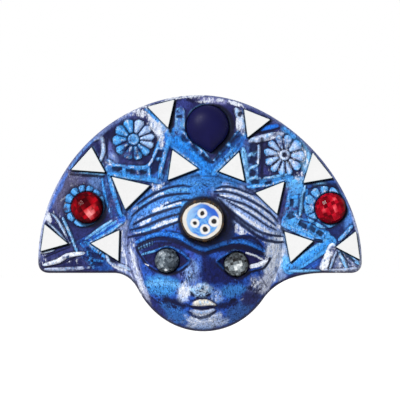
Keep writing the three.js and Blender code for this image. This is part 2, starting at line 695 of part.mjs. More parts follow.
// Hollow behind the face, and the nail hole that slants up into the clay over it
const hollow = new THREE.SphereGeometry(1, 24, 12).rotateX(Math.PI / 2);
hollow.scale(
  HEAD_HALF_WIDTH - HOLLOW_SIDE_WALL,
  (HEAD_UP + HEAD_DOWN) / 2 - HOLLOW_SIDE_WALL,
  HEAD_BASE + HEAD_RISE - HOLLOW_FACE_WALL + HOLLOW_LIP,
).translate(HEAD_X, HEAD_Y + (HEAD_UP - HEAD_DOWN) / 2, -HOLLOW_LIP);
const nailDepth = SLAB_THICKNESS - NAIL_HOLE_WALL;
const nailHole = cylinder(NAIL_HOLE_DIAMETER / 2, 2 * nailDepth, 24).translate(0, 0, -nailDepth)
  .rotateX(-radians(NAIL_HOLE_TILT)).translate(HEAD_X, NAIL_HEIGHT, 0);
cutters.push(solid(hollow), solid(nailHole));
rayTips.forEach((tip, i) => {
  const cells = [...bandCells(valleys[i], tip), ...bandCells(tip, valleys[i + 1])];
  cutters.push(...cells.map(solid));
});

const clay = [slab(), head(), ...faceRelief(), ...crownRelief()].map(solid);
const body = Manifold.union(clay).subtract(Manifold.union(cutters));
place('ceramic_body', geometryOf(body), painted);

export default wallHanging;
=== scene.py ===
from math import comb

import bpy
import numpy as np
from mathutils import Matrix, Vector


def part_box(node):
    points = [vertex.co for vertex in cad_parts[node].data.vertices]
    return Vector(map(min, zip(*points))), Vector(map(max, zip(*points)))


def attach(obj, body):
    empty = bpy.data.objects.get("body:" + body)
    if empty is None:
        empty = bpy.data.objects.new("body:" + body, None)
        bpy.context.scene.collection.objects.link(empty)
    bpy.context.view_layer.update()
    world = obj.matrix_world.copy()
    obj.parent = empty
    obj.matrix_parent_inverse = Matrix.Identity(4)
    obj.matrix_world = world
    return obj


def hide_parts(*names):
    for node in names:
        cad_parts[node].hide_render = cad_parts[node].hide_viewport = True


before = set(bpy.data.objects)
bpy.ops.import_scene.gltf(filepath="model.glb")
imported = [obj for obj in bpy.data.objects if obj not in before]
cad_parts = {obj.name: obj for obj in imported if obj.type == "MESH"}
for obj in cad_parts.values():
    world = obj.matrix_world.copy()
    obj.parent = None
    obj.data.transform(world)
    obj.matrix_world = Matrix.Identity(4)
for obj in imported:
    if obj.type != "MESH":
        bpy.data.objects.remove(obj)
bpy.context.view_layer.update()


# Ceramic body: one plaque of white clay pressed in a mould, with a face under a fan-shaped crown and all
# of the relief in one piece. It is fired, washed with navy that stays in the hollows, painted cobalt and
# azure on what stands up, and dry-brushed with white.

# Sizes are in mm where no line says otherwise
SQUARE = 0.636  # across one square of the photograph's frame
MIDDLE = (200, 257)  # the crown's centre in that frame
body_low, body_high = (np.array(corner) * 1000 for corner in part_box("ceramic_body"))
CROWN_RADIUS = (body_high[0] - body_low[0]) / 2
CROWN_CENTRE = np.array([(body_high[0] + body_low[0]) / 2, body_high[2] - CROWN_RADIUS])
SLAB = 10.0
EDGE_ROUND = 2.0
WING_DROP = 10.2
WING_CORNER = 7.4
FULLNESS_LEFT = 0.552
FULLNESS_RIGHT = 0.5
HEAD = np.array([2.2, 4.4])
HEAD_WIDTH = 47.6
HEAD_UP = 47.0
HEAD_DOWN = 51.8
TEMPLE_WIDENING = 2.4
JAW_ANGLES = np.radians([29.5, 37.0])
JAW_FILLETS = (10.0, 28.0)
COLUMNS = 372
ROWS = 236
CURVE_POINTS = 161
END_POINTS = 32  # points of the crown's curve that belong to the end of a wing
FAR = 1e3  # stands for out of reach


def spots(*squares):
    """Places on the front in mm from the crown's centre, given as squares across and down the frame."""
    across, down = np.array(squares, float).T
    return np.stack([(across - MIDDLE[0]) * SQUARE, (MIDDLE[1] - down) * SQUARE], -1)


def bezier(*handles):
    """Curve drawn towards its handles, weighted by the binomial terms of t and 1 - t."""
    t = np.linspace(0, 1, CURVE_POINTS)[:, None]
    n = len(handles) - 1
    return sum(comb(n, k) * (1 - t) ** (n - k) * t**k * np.array(h, float) for k, h in enumerate(handles))


def evenly(curve, count):
    """Points at equal steps along the length of a curve."""
    run = np.append(0, np.cumsum(np.hypot(*np.diff(curve, axis=0).T)))
    steps = np.linspace(0, run[-1], count)
    return np.stack([np.interp(steps, run, curve[:, 0]), np.interp(steps, run, curve[:, 1])], -1)


def plaque_sides():
    """The outline in four stretches: the lower edge, the crown's arc, and the two ends of the wings."""
    r, drop, tip = CROWN_RADIUS, -WING_DROP, WING_CORNER - WING_DROP
    left, right = FULLNESS_LEFT * r, FULLNESS_RIGHT * r
    crown_left = bezier((-r, tip), (-r, tip + left), (-left, r), (0, r))
    crown_right = bezier((0, r), (right, r), (r, tip + right), (r, tip))
    corner_left = bezier((WING_CORNER - r, drop), (-r, drop), (-r, tip))
    corner_right = bezier((r - WING_CORNER, drop), (r, drop), (r, tip))
    climb = (drop - HEAD[1] + HEAD_DOWN * np.sin(JAW_ANGLES)) / (HEAD_DOWN * np.cos(JAW_ANGLES))
    elbows = HEAD_WIDTH * (np.cos(JAW_ANGLES) + climb * np.sin(JAW_ANGLES))
    elbow_left, elbow_right = HEAD[0] - elbows[0], HEAD[0] + elbows[1]
    turn = np.linspace(np.pi + JAW_ANGLES[0], 2 * np.pi - JAW_ANGLES[1], CURVE_POINTS)
    chin = np.stack([HEAD[0] + HEAD_WIDTH * np.cos(turn), HEAD[1] + HEAD_DOWN * np.sin(turn)], -1)
    fillet_left = bezier((elbow_left - JAW_FILLETS[0], drop), (elbow_left, drop), chin[0])
    fillet_right = bezier(chin[-1], (elbow_right, drop), (elbow_right + JAW_FILLETS[1], drop))
    lower = np.concatenate([corner_left[:1], fillet_left, chin[1:], fillet_right[1:], corner_right[:1]])
    arc = np.concatenate([crown_left[END_POINTS:], crown_right[1 : CURVE_POINTS - END_POINTS]])
    end_left = np.concatenate([corner_left, crown_left[1 : END_POINTS + 1]])
    end_right = np.concatenate([corner_right, crown_right[::-1][1 : END_POINTS + 1]])
    return lower, arc, end_left, end_right


def spanned_sheet(lower, arc, end_left, end_right):
    """Grid that fills the outline: blend of each pair of facing sides, less the blend of the corners."""
    u = np.linspace(0, 1, COLUMNS + 1)[None, :, None]
    v = np.linspace(0, 1, ROWS + 1)[:, None, None]
    low, high = evenly(lower, COLUMNS + 1)[None], evenly(arc, COLUMNS + 1)[None]
    left, right = evenly(end_left, ROWS + 1)[:, None], evenly(end_right, ROWS + 1)[:, None]
    corners_left = (1 - v) * low[:, :1] + v * high[:, :1]
    corners_right = (1 - v) * low[:, -1:] + v * high[:, -1:]
    corners = (1 - u) * corners_left + u * corners_right
    return (1 - v) * low + v * high + (1 - u) * left + u * right - corners


sides = plaque_sides()
sheet = spanned_sheet(*sides)
x, y = sheet[..., 0], sheet[..., 1]


def step(low, high, value):
    """Smooth step: 0 below low, 1 above high, level at both ends."""
    t = np.clip((value - low) / (high - low), 0, 1)
    return t * t * (3 - 2 * t)


def rounded(path, steps=6):
    """Smooth path through the given points, each stretch bent by the points before and after it."""
    p = np.concatenate([2 * path[:1] - path[1:2], path, 2 * path[-1:] - path[-2:-1]])
    t = np.linspace(0, 1, steps, endpoint=False)[:, None]
    stretches = [
        b + ((c - a) * t + (2 * a - 5 * b + 4 * c - d) * t**2 + (3 * b - a - 3 * c + d) * t**3) / 2
        for a, b, c, d in zip(p, p[1:], p[2:], p[3:])
    ]
    return np.concatenate([*stretches, path[-1:]])


def along(path, reach=9.0):
    """Distance from each point of the sheet to a path, share of its length there, and offset to its left.

    Each stretch of the path gives its nearest point, and the nearest stretch wins. Points out of reach
    stay far.
    """
    near, share, offset = np.full(x.shape, FAR), np.zeros(x.shape), np.zeros(x.shape)
    low, high = path.min(0) - reach, path.max(0) + reach
    inside = (x > low[0]) & (x < high[0]) & (y > low[1]) & (y < high[1])
    px, py = x[inside], y[inside]
    best, where, aside = near[inside], share[inside], offset[inside]
    steps = np.diff(path, axis=0)
    lengths = np.maximum(np.hypot(*steps.T), 1e-9)
    runs = np.append(0, np.cumsum(lengths))
    for start, heading, length, run in zip(path, steps / lengths[:, None], lengths, runs):
        rx, ry = px - start[0], py - start[1]
        t = np.clip(rx * heading[0] + ry * heading[1], 0, length)
        left = ry * heading[0] - rx * heading[1]
        d = np.hypot(rx - t * heading[0], ry - t * heading[1])
        closer = d < best
        best = np.where(closer, d, best)
        where = np.where(closer, (run + t) / runs[-1], where)
        aside = np.where(closer, left, aside)
    near[inside], share[inside], offset[inside] = best, where, aside
    return near, share, offset


# Form of the head: an egg with broad swells and hollows for cheeks, muzzle, chin and eyes
v = (y - HEAD[1]) / np.where(y > HEAD[1], HEAD_UP, HEAD_DOWN)
u = (x - HEAD[0]) / (HEAD_WIDTH + TEMPLE_WIDENING * step(-0.5, 0.2, v))
dome = np.sqrt(np.clip(1 - u**2 - v**2, 0, 1))
HEAD_BASE = 6.0
HEAD_RISE = 21.5
FACE_SWELLS = [  # place, spread across and along in squares, height in mm
    ((167, 260), (19, 11), -2.8),
    ((237, 263), (19, 11), -2.8),
    ((163, 286), (17, 15), 1.8),
    ((243, 288), (17, 15), 1.8),
    ((202, 304), (19, 12), 1.6),
    ((205, 321), (14, 9), 2.4),
    ((201, 268), (7, 16), 2.4),
]


def swell(place, spread, height):
    """Soft mound: height times the bell curve of the distance, counted in spreads."""
    cx, cy = spots(place)[0]
    return height * np.exp(-(((x - cx) / spread[0]) ** 2 + ((y - cy) / spread[1]) ** 2) / SQUARE**2)


head = HEAD_BASE + dome * (HEAD_RISE + sum(swell(*s) for s in FACE_SWELLS))
crown = np.zeros_like(x)
face = np.zeros_like(x)
floor_coats = []  # what lies under the brush work: where, colour, cover
raised_coats = []  # what the brush lays on raised forms
sunk_coats_and_shadows = []  # what the navy wash fills at the end, with the painted shade and shadows round the inlays


def colour(r, g, b):
    """Paint in linear light from the values seen on a screen."""
    c = np.array([r, g, b]) / 255
    return np.where(c <= 0.04045, c / 12.92, ((c + 0.055) / 1.055) ** 2.4)


BLACK = colour(5, 6, 18)
INK = colour(10, 12, 40)
NAVY = colour(20, 24, 70)
PURPLE = colour(42, 47, 100)
SLATE = colour(78, 86, 130)
COBALT = colour(34, 78, 162)
BLUE = colour(44, 104, 192)
AZURE = colour(58, 140, 216)
SKY = colour(112, 176, 230)
LILAC = colour(172, 182, 210)
WHITE = colour(226, 230, 240)
CREAM = colour(212, 207, 196)


def tapered(path, width, thin, taper=0.5):
    """Distance to a path, and half its width in mm, which narrows to the thin share at both ends."""
    d, share, _ = along(rounded(spots(*path)))
    return d, width / 2 * SQUARE * (thin + (1 - thin) * np.clip(4 * share * (1 - share), 0, 1) ** taper)


def model_ridges(
    ground, rails, rise, hue, cover=0.9, thin=0.55, flat=0.7, outline=0.5, sky=0.38, taper=0.5
):
    """Raised lines on the clay: rise times a power of 1 less the square of distance over half-width.

    Beside the line lies an outline of ink, and on it the hue, with a share of sky blue specks.
    """
    for path, width in rails:
        d, half = tapered(path, width, thin, taper)
        form = np.clip(1 - (d / half) ** 2, 0, 1)
        np.maximum(ground, rise * form**flat, out=ground)
        raised_coats.append((step(1.0, 0.2, d - half), INK, outline, 0.0))
        raised_coats.append((step(0.05, 0.55, form), hue, cover, sky))


GROOVE_THIN = 0.45


def cut_grooves(ground, grooves, depth, cover=0.95):
    """Lines cut in the clay: depth times the bell curve of the distance, filled with navy."""
    for path, width in grooves:
        d, half = tapered(path, width, GROOVE_THIN)
        form = np.exp(-((d / half) ** 2))
        ground -= depth * form
        sunk_coats_and_shadows.append((step(0.2, 0.6, form), INK, cover))


# Crown: flat bands in a zigzag round the head, with cells pressed in them and rails along their edges
BANDS = [  # centre line, width in squares, colour
    ([(104, 178), (109, 196), (116, 215)], 14, colour(28, 58, 122)),
    ([(85, 242), (104, 230.5), (122, 219)], 10, colour(26, 92, 196)),
    ([(83, 247), (92, 256), (102, 266)], 19, colour(18, 48, 112)),
    ([(111, 170), (134, 172), (157, 176)], 14, colour(52, 116, 190)),
    ([(156, 172), (161, 155), (167, 138)], 13, COBALT),
    ([(174, 137), (190, 153), (207, 169)], 21, colour(34, 122, 212)),
    ([(213, 171), (227, 155), (242, 138)], 14, colour(36, 104, 186)),
    ([(249, 146), (251, 164), (252, 183)], 15, colour(58, 96, 164)),
    ([(250, 184), (270, 182), (289, 178)], 9, AZURE),
    ([(296, 187), (294, 205), (291, 222)], 17, colour(74, 152, 222)),
    ([(287, 223), (306, 228.4), (325, 236)], 12, colour(64, 142, 212)),
    ([(330, 242), (310, 256), (290, 268)], 14, colour(66, 150, 224)),
    ([(180, 112), (180, 122), (179, 132)], 11, colour(76, 122, 194)),
    ([(332, 247), (328, 256.5), (323.6, 267)], 8.6, WHITE),
]
AZURE_RAILS = [  # path and width in squares
    ([(108.6, 175), (114, 194), (121, 216)], 5), ([(102, 179), (105, 196), (110, 212)], 3),
    ([(86, 245), (104, 235), (122, 223)], 4), ([(85, 242), (94, 248.5), (105, 257)], 4.6),
    ([(81, 243.5), (86, 249.5), (91, 259), (93.5, 268)], 3.4),
    ([(89, 260), (96, 260.4), (103, 261)], 2.8),
    ([(108, 160), (115, 165), (129, 167), (146, 167), (153, 159)], 4.5),
    ([(108, 174), (129, 176.6), (150, 179.5), (164, 183.7)], 6),
    ([(171, 134), (164, 156), (159, 177)], 5.5), ([(153, 159), (157, 147), (163, 134)], 3.5),
    ([(173, 134), (192, 153), (211, 172)], 6), ([(181, 130), (196, 145), (211, 161)], 3.5),
    ([(240, 137), (227, 157), (213, 174)], 7), ([(238, 131), (226, 146), (214, 160)], 2.6),
    ([(248, 187), (268, 184.5), (286, 180.5)], 4.5), ([(289, 194), (287, 208), (283, 223)], 5),
    ([(282, 224.5), (296, 231), (311, 237.4), (328, 241)], 4.6),
    ([(297, 218.4), (306, 219.6), (316, 223.4), (325, 229.6)], 2.8),
    ([(329, 241), (309, 255), (288, 269)], 8), ([(352, 226), (346, 233), (339, 240)], 4.5),
    ([(124, 168), (124.5, 176)], 5), ([(137.5, 168), (137.5, 177)], 5), ([(149, 168), (150, 179)], 4),
    ([(155, 160), (163, 158)], 3.5), ([(158, 148), (166, 150)], 4), ([(288, 198), (302, 196)], 4),
    ([(286, 211), (300, 210)], 4), ([(299.6, 219.5), (296.4, 227)], 2.6),
    ([(310.8, 222), (305.6, 231)], 2.6), ([(319.4, 225.6), (314, 234.6)], 2.6),
    ([(326, 231.4), (322.6, 238)], 2.4), ([(229, 141), (231, 152)], 3.6), ([(219, 151), (222, 160)], 3),
    ([(307, 190), (304, 202), (308, 215)], 4.5),
]
SKY_RAILS = [
    ([(243, 149), (245, 165), (247.5, 182)], 7), ([(257, 178.5), (270, 177.5), (287, 174)], 3),
    ([(305, 186), (302, 200), (300, 215)], 3.5), ([(62.7, 218), (70, 234), (78, 254)], 3.2),
    ([(248, 156), (257, 151.5)], 4), ([(248.5, 169.5), (257, 165)], 4), ([(249, 179.5), (257, 176.5)], 4),
    ([(86, 239), (100, 228.5), (117, 217.5)], 3.4), ([(71, 172), (90, 173), (104, 174.5)], 2.6),
    ([(339, 251), (343, 260), (347, 269)], 4), ([(342, 250), (350, 256), (359, 264)], 4.5),
    ([(289, 271), (304, 271), (320, 271)], 3.4),
]
LILAC_RAILS = [
    ([(50.4, 213), (57, 219), (63.7, 231), (70, 243)], 2.8), ([(46, 221), (56, 230), (66, 241)], 2.2),
    ([(259, 145), (258.5, 154), (258, 164)], 3.4), ([(45, 269.5), (66, 269), (89, 267.5)], 4.6),
    ([(94, 140), (101, 138), (103.5, 150), (100.5, 161)], 5), ([(325, 270), (341, 270.3), (356, 268)], 4),
    ([(106.6, 255), (109, 261), (114, 264.6), (122, 266), (131, 270)], 4.4),
    ([(337, 250), (333, 260), (330, 269)], 2.6), ([(236, 109), (241, 121), (243.5, 134)], 7),
]
WHITE_RAILS = [
    ([(44, 265), (58, 261), (68, 255.5), (84, 253)], 5.6), ([(41, 253), (54, 250)], 3),
]
HATCHED_RAIL = [([(250, 141), (265, 137.5), (282, 134)], 8)]
CELLS = [  # middle, half-length and half-width in squares, turn
    ((88.6, 249), (2.6, 1.6), -40), ((94, 255.4), (4.8, 2.2), -14), ((97.6, 264.4), (5, 2), -4),
    ((117, 168.8), (4.6, 2.2), 8), ((131.2, 171), (4.4, 1.9), -6), ((143.4, 172.4), (4, 1.7), -6),
    ((155.5, 167), (7, 3.2), 75), ((159.5, 153.6), (4.4, 2.8), 70), ((184.4, 139.4), (4, 2.3), -46),
    ((195, 148.7), (4, 2.4), -46), ((204, 156.8), (4, 2.6), -42), ((179.5, 116.5), (2.4, 1.6), 0),
    ((235, 140), (6.2, 4.2), 50), ((223.5, 150.5), (5.8, 4.2), 55), ((217, 157), (3, 2.4), 60),
    ((209, 160.5), (5, 2.6), -30), ((240, 114.4), (2.6, 2), 70), ((253, 147.5), (5.4, 3.6), 90),
    ((253, 161), (4.4, 3.2), 70), ((253, 173.2), (3.4, 3.2), 60), ((254.3, 182), (4, 2.3), 8),
    ((268.6, 183), (3, 1.4), 8), ((291.8, 203.2), (4, 2), 86), ((290.8, 216), (3.6, 2.6), 20),
    ((303, 224.6), (4, 2.6), -22), ((312.2, 228.6), (3.8, 2.8), -26), ((320, 233), (3.4, 2.2), -30),
    ((113.6, 260.2), (3.2, 2.2), -20), ((319, 241), (4, 1.6), -10),
]
BAND_RISE = 0.9
CELL_DEPTH = 0.4


def press_bands():
    """Flat strips: rise times a smooth step from the edge inwards."""
    for path, width, hue in BANDS:
        d = along(rounded(spots(*path)), reach=12.0)[0]
        form = step(1.0, 0.8, d / (width / 2 * SQUARE))
        np.maximum(crown, BAND_RISE * form, out=crown)
        raised_coats.append((form, hue, 0.85, 0.3))


LATTICE = 256
lattice = np.random.default_rng(11).random((LATTICE, LATTICE))


def mottle(a, b):
    """Smooth patchiness: random values on a lattice, blended between neighbours by a smooth step."""
    i, j = np.floor(a).astype(int), np.floor(b).astype(int)
    f, g = step(0, 1, a - i), step(0, 1, b - j)
    near, far = i % LATTICE, (i + 1) % LATTICE
    rows = [(1 - f) * lattice[near, at] + f * lattice[far, at] for at in (j % LATTICE, (j + 1) % LATTICE)]
    return (1 - g) * rows[0] + g * rows[1]


def turned(cx, cy, turn):
    """Offsets of the sheet from a point, along and across a direction turned by so many degrees."""
    c, s = np.cos(np.radians(turn)), np.sin(np.radians(turn))
    return (x - cx) * c + (y - cy) * s, (y - cy) * c - (x - cx) * s


def press_cells():
    """Cells pushed into the bands: rounded boxes, by the fourth powers of the offsets along and across."""
    for place, size, turn in CELLS:
        cx, cy = spots(place)[0]
        a, b = turned(cx, cy, turn)
        a, b = a / (size[0] * SQUARE), b / (size[1] * SQUARE)
        ragged = 0.6 * (mottle(x / 1.6 + cx, y / 1.6 + cy) - 0.5)
        form = step(1.3, 0.7, (a**4 + b**4) ** 0.25 + ragged)
        crown[...] = crown * (1 - form) - CELL_DEPTH * form
        sunk_coats_and_shadows.append((form, INK, 0.9))


press_bands()
model_ridges(crown, AZURE_RAILS, 1.3, colour(50, 138, 222), flat=0.4, outline=0.4)
model_ridges(crown, SKY_RAILS, 1.4, SKY, flat=0.5)
model_ridges(crown, LILAC_RAILS, 1.5, LILAC, 0.85)
model_ridges(crown, HATCHED_RAIL, 1.3, LILAC, 0.8, flat=0.4)
model_ridges(crown, WHITE_RAILS, 1.7, WHITE, thin=0.4)
press_cells()

# Rosettes: centre, petal angles, inner and outer radius and gap in squares, button radius in squares,
# range of angles of the pale petals, share of sky blue specks
ROSETTES = [
    ((133.5, 139.5), (108, 69, 35, 8, -18, -43, -75, -107, -142, -176, 144),
     (6.5, 20.8, 0.5), 6, (-20, 72), 0.38),
    ((284.5, 155), (140, 107, 82, 38, -3, -45, -74, -98, -127, -155, -192),
     (6.2, 20.4, 0.95), 5.6, (-360, 360), 0.38),
    ((84.5, 206), (18, 48, 74, 98, 122, 153, 187, 219, 251), (12, 20.8, 0.5), 0, (0, 0), 0.1),
    ((325, 207), (62, 92, 123, 153, 189, 222, 252), (8, 21.5, 0.6), 0, (0, 0), 0.8),
]
PETAL_RISE = 1.9
PETAL_ROUND = 0.62  # share of a petal's length where its end starts to round off
BUTTON_RISE = 2.1
BUTTON_EYE = 1.4  # depth of the hole in a pierced button
WELL_DEPTH = 0.3
plain_beads = []


def model_rosette(centre, petals, reach, button, pale, sky):
    """Ring of petals, each a wedge with a round end: the gap to its sides and end sets its height."""
    all_pale = pale[0] < -90
    cx, cy = spots(centre)[0]
    radius = np.hypot(x - cx, y - cy) / SQUARE
    bearing = np.degrees(np.arctan2(y - cy, x - cx))
    inner, outer, gap = reach
    well = step(outer + 5, outer + 1, radius)
    crown[...] = crown * (1 - well) - WELL_DEPTH * well
    floor_coats.append((step(outer + 4, outer, radius), INK, 0.8))
    angles = np.sort(np.array(petals) % 360)
    for k, angle in enumerate(angles):
        before = (angle - angles[k - 1]) % 360 / 2
        after = (angles[(k + 1) % len(angles)] - angle) % 360 / 2
        turn = (bearing - angle + 180) % 360 - 180
        sector = np.radians(np.where(turn > 0, after, before)) * radius - gap
        across = np.abs(np.radians(turn)) * radius
        t = np.clip((radius - inner) / (outer - inner), 0, 1.2)
        end = np.sqrt(np.clip(1 - np.clip((t - PETAL_ROUND) / (1 - PETAL_ROUND), 0, 1) ** 2.6, 0, 1))
        room = np.clip(1 - across / np.maximum(sector * end, 0.05), 0, 1) * step(0, 0.12, t) * (t < 1)
        form = np.sqrt(room) * (np.abs(turn) < 90)
        np.maximum(crown, PETAL_RISE * form, out=crown)
        raised_coats.append((step(0.08, 0.3, form), colour(66, 146, 218), 0.95, sky))
        if pale[0] <= (angle + 180) % 360 - 180 <= pale[1]:
            tip = step(0.95, 0.55, t) if all_pale else 1.0
            raised_coats.append((step(0.15, 0.45, form) * tip, LILAC, 0.85, 0.3))
    if sky < 0.2:
        plain_beads.append(step(outer + 2, outer, radius))
    if button:
        form = np.clip(1 - (radius / button) ** 6, 0, 1)
        np.maximum(crown, BUTTON_RISE * form**0.5, out=crown)
        hue = LILAC if all_pale else colour(74, 142, 208)
        raised_coats.append((step(0.1, 0.5, form), hue, 0.95, 0.3))
    if all_pale:
        hole = step(3.0, 1.8, radius)
        crown[...] -= BUTTON_EYE * hole
        sunk_coats_and_shadows.append((hole, INK, 0.95))


for rosette in ROSETTES:
    model_rosette(*rosette)

# Face: hair parted over the forehead in strands, a brow in one wave, lids, nose and mouth
HAIR_GROOVES = [  # path and width in squares
    ([(191.7, 186.5), (178, 186), (163, 189.8), (145.5, 198.5), (136.8, 204.8)], 2.8),
    ([(190.5, 193.5), (171.8, 194.8), (158, 198.5), (143, 207), (131.8, 216)], 3.2),
    ([(194, 199.4), (182, 200.4), (172, 203), (164, 206)], 2.2),
    ([(181, 206.5), (168, 209.8), (148, 217), (133, 224.8)], 3.4),
    ([(180, 213.5), (163, 218.5), (145.5, 226), (130.5, 230)], 3.2),
    ([(180.5, 221), (165.5, 226.4), (150.5, 232), (128, 237.4)], 3.4),
    ([(215.5, 188.5), (225.5, 186.6), (238, 189), (253, 194.8)], 2.8),
    ([(214, 191.6), (228, 192), (243, 197), (258, 204.8), (270.5, 213.5), (278, 222)], 3.2),
    ([(216.8, 195.6), (230.5, 199.8), (248, 206), (263, 216), (275.5, 225.6)], 3),
    ([(226, 201), (238, 207), (253, 216), (265.5, 224.8), (276, 230)], 2.6),
    ([(218, 198.5), (228, 208.5), (243, 221), (258, 231), (270.5, 235), (283, 236.4)], 3.4),
    ([(222, 203.5), (232, 216), (247, 228.5), (262, 238.5), (276, 242), (284, 242)], 3.8),
    ([(232, 238.5), (245, 236.5), (254, 238.5), (262, 246)], 4),
]
BROW = [
    (137, 242), (150, 236), (165, 233.5), (180, 236.5), (191, 243), (203, 248.5), (214, 246.5),
    (225, 242.5), (236, 240.5), (246, 242), (256, 246), (264, 250.5),
]
UNDER_BROW = [
    (137, 247), (146, 242), (158, 238.5), (170, 239.5), (182, 243.5), (194, 250), (204, 253), (215, 250),
    (228, 246.5), (240, 245.5), (252, 248.5), (263, 254),
]
UPPER_LIDS = [
    [(143, 253.8), (154, 251), (161, 248.4), (168, 247.2), (176, 249), (184, 254), (190, 260)],
    [(216, 260), (225, 254), (237, 250.5), (251, 253.5), (269, 259)],
]
LOWER_LIDS = [
    [(142, 255), (148, 263), (158, 269.5), (168, 272), (179, 269.5), (190, 261)],
    [(216, 261), (225, 269.5), (238, 275), (253, 268.5), (269, 260)],
]
model_ridges(face, [(BROW, 5.6)], 1.7, colour(36, 110, 204), thin=0.6, outline=0.0)
cut_grooves(face, [(UNDER_BROW, 4.4)], 1.0)
cut_grooves(face, HAIR_GROOVES, 1.4)
model_ridges(face, [(UPPER_LIDS[0], 3.2)], 1.3, colour(44, 108, 200), 0.7, sky=0.15)
model_ridges(face, [(UPPER_LIDS[1], 3.2)], 1.3, colour(26, 40, 116), 0.5, sky=0.05)
model_ridges(face, [(lid, 3.0) for lid in LOWER_LIDS], 1.0, colour(36, 70, 160), 0.55, sky=0.1)
NOSE = [((201, 287), (8.4, 7), 3.8), ((193, 290), (4, 3.6), 1.7), ((209, 289), (4, 3.6), 1.7)]
face += sum(swell(*s) for s in NOSE)
UPPER_LIP = [(188, 305), (196, 302.4), (203, 301.6), (209, 302.2), (216.5, 304.4)]
LOWER_LIP = [(190, 309.5), (202, 311.6), (214.5, 309)]
MOUTH = [(186, 303), (194, 307), (204, 308.3), (212, 306.5), (218.5, 304)]
UNDER_LIP = [(188, 311), (194, 315.5), (202, 317), (210, 314.5), (217, 309.5)]
NOSTRILS = [
    ([(190.8, 291), (192.4, 293.4), (194.6, 295)], 3),
    ([(196.6, 297), (199.4, 297.4)], 2.6),
    ([(206, 295.4), (208.6, 294), (210.4, 292.6)], 2.6),
]
model_ridges(face, [(UPPER_LIP, 7.6)], 2.0, CREAM, 1.0, thin=0.03, taper=1.2, sky=0.1)
model_ridges(face, [(LOWER_LIP, 5)], 1.6, LILAC, 0.9, thin=0.2, sky=0.3)
cut_grooves(face, [(MOUTH, 2.4)], 1.2)
cut_grooves(face, [(UNDER_LIP, 3)], 0.9, 0.85)
cut_grooves(face, NOSTRILS, 1.0, 0.8)
LASHES = [([(139.5 + 2.7 * k, 249.5 - 0.9 * k), (138.5 + 2.7 * k, 245 - 1.1 * k)], 1.5) for k in range(6)]
model_ridges(face, LASHES, 0.4, SKY, 0.75, outline=0.3, sky=0.5)

# The sheet's height: slab and crown relief, rounded off at the rim, and the head that rises out of it
outline = np.concatenate([sides[0], sides[3][1:], sides[1][::-1][1:], sides[2][::-1][1:]])
RIM_POINTS = 700
inset = along(evenly(outline, RIM_POINTS))[0]
fall = np.clip(1 - inset / EDGE_ROUND, 0, 1)
slab = SLAB + crown * step(0.5, 3, inset) - EDGE_ROUND * (1 - np.sqrt(1 - fall**2))
head_part = head + face * step(0.05, 0.3, dome)
BLEND = 4.5  # mm over which the clay is smoothed where the head meets the crown
mix = np.clip(0.5 + (head_part - slab) / (2 * BLEND), 0, 1)
height = slab + (head_part - slab) * mix + BLEND * mix * (1 - mix)

# Seats: the clay is cut down to a flat floor under each tile and stone. Painted shade darkens the gap round
# each, and a painted shadow lies to its lower right
TILES = sorted(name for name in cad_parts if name.startswith("mirror_"))
STONES = ["red_gem_left", "red_gem_right", "eye_stone_left", "eye_stone_right"]
STONE_SHADES = dict(zip(STONES, (2.3, 0.7, 1.1, 1.0)))  # mm right and down to the painted shadow by each stone
SEAT_GAP = 0.35
SEAT_WALL = (0.5, 0.3)  # out and in from the gap, over which the wall of a seat leans
STEEP_WALL = (0.4, 0.2)  # the same for the disc and the drop
TILE_SHADE = 0.75  # right and down to the painted shadow by each tile
GLUE = 0.6


def node_points(name):
    """Corner points of a CAD node, in mm across, up and out from the crown's centre."""
    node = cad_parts[name].data
    flat = np.empty(len(node.vertices) * 3)
    node.vertices.foreach_get("co", flat)
    p = flat.reshape(-1, 3) * 1000
    return np.stack([p[:, 0] - CROWN_CENTRE[0], p[:, 2] - CROWN_CENTRE[1], -p[:, 1]], -1)


def inside_triangle(corners, shift=0.0):
    """How far inside a triangle, moved right and down by a shift, a point lies: the least edge distance."""
    a, b, c = corners + (shift, -shift)
    turn = np.sign((b[0] - a[0]) * (c[1] - a[1]) - (b[1] - a[1]) * (c[0] - a[0]))
    depth = np.full(x.shape, FAR)
    for p, q in ((a, b), (b, c), (c, a)):
        heading = (q - p) / np.hypot(*(q - p))
        depth = np.minimum(depth, turn * (heading[0] * (y - p[1]) - heading[1] * (x - p[0])))
    return depth


def sink(where, floor):
    """Cuts the clay down to a floor where the mask says."""
    global height
    height = height + (np.minimum(height, floor) - height) * where


for name in TILES:
    tile_points = node_points(name)
    corners = np.unique(tile_points[:, :2].round(3), axis=0)
    depth = inside_triangle(corners)
    sink(step(-SEAT_GAP - SEAT_WALL[0], -SEAT_GAP + SEAT_WALL[1], depth), tile_points[:, 2].min() - GLUE)
    # Painted shade in the gap round the tile, and its painted shadow to the lower right
    sunk_coats_and_shadows.append((step(-0.6, -0.1, depth), INK, 0.3))
    sunk_coats_and_shadows.append((step(-0.9, -0.3, inside_triangle(corners, TILE_SHADE)), BLACK, 0.95))
for name in STONES:
    stone_points = node_points(name)
    centre = (stone_points.max(0) + stone_points.min(0)) / 2
    stone_radius = np.ptp(stone_points[:, 0]) / 2
    away = np.hypot(x - centre[0], y - centre[1]) - stone_radius
    sink(step(SEAT_GAP + SEAT_WALL[0], SEAT_GAP - SEAT_WALL[1], away), stone_points[:, 2].min() - GLUE)
    # Painted shade in the gap round the stone, and its painted shadow to the lower right
    sunk_coats_and_shadows.append((step(0.6, 0.1, away), INK, 0.2))
    shade = STONE_SHADES[name]
    shadow_pool = np.hypot(x - centre[0] - shade, y - centre[1] + shade) - stone_radius
    sunk_coats_and_shadows.append((step(1.5, -0.4, shadow_pool), BLACK, 0.9))

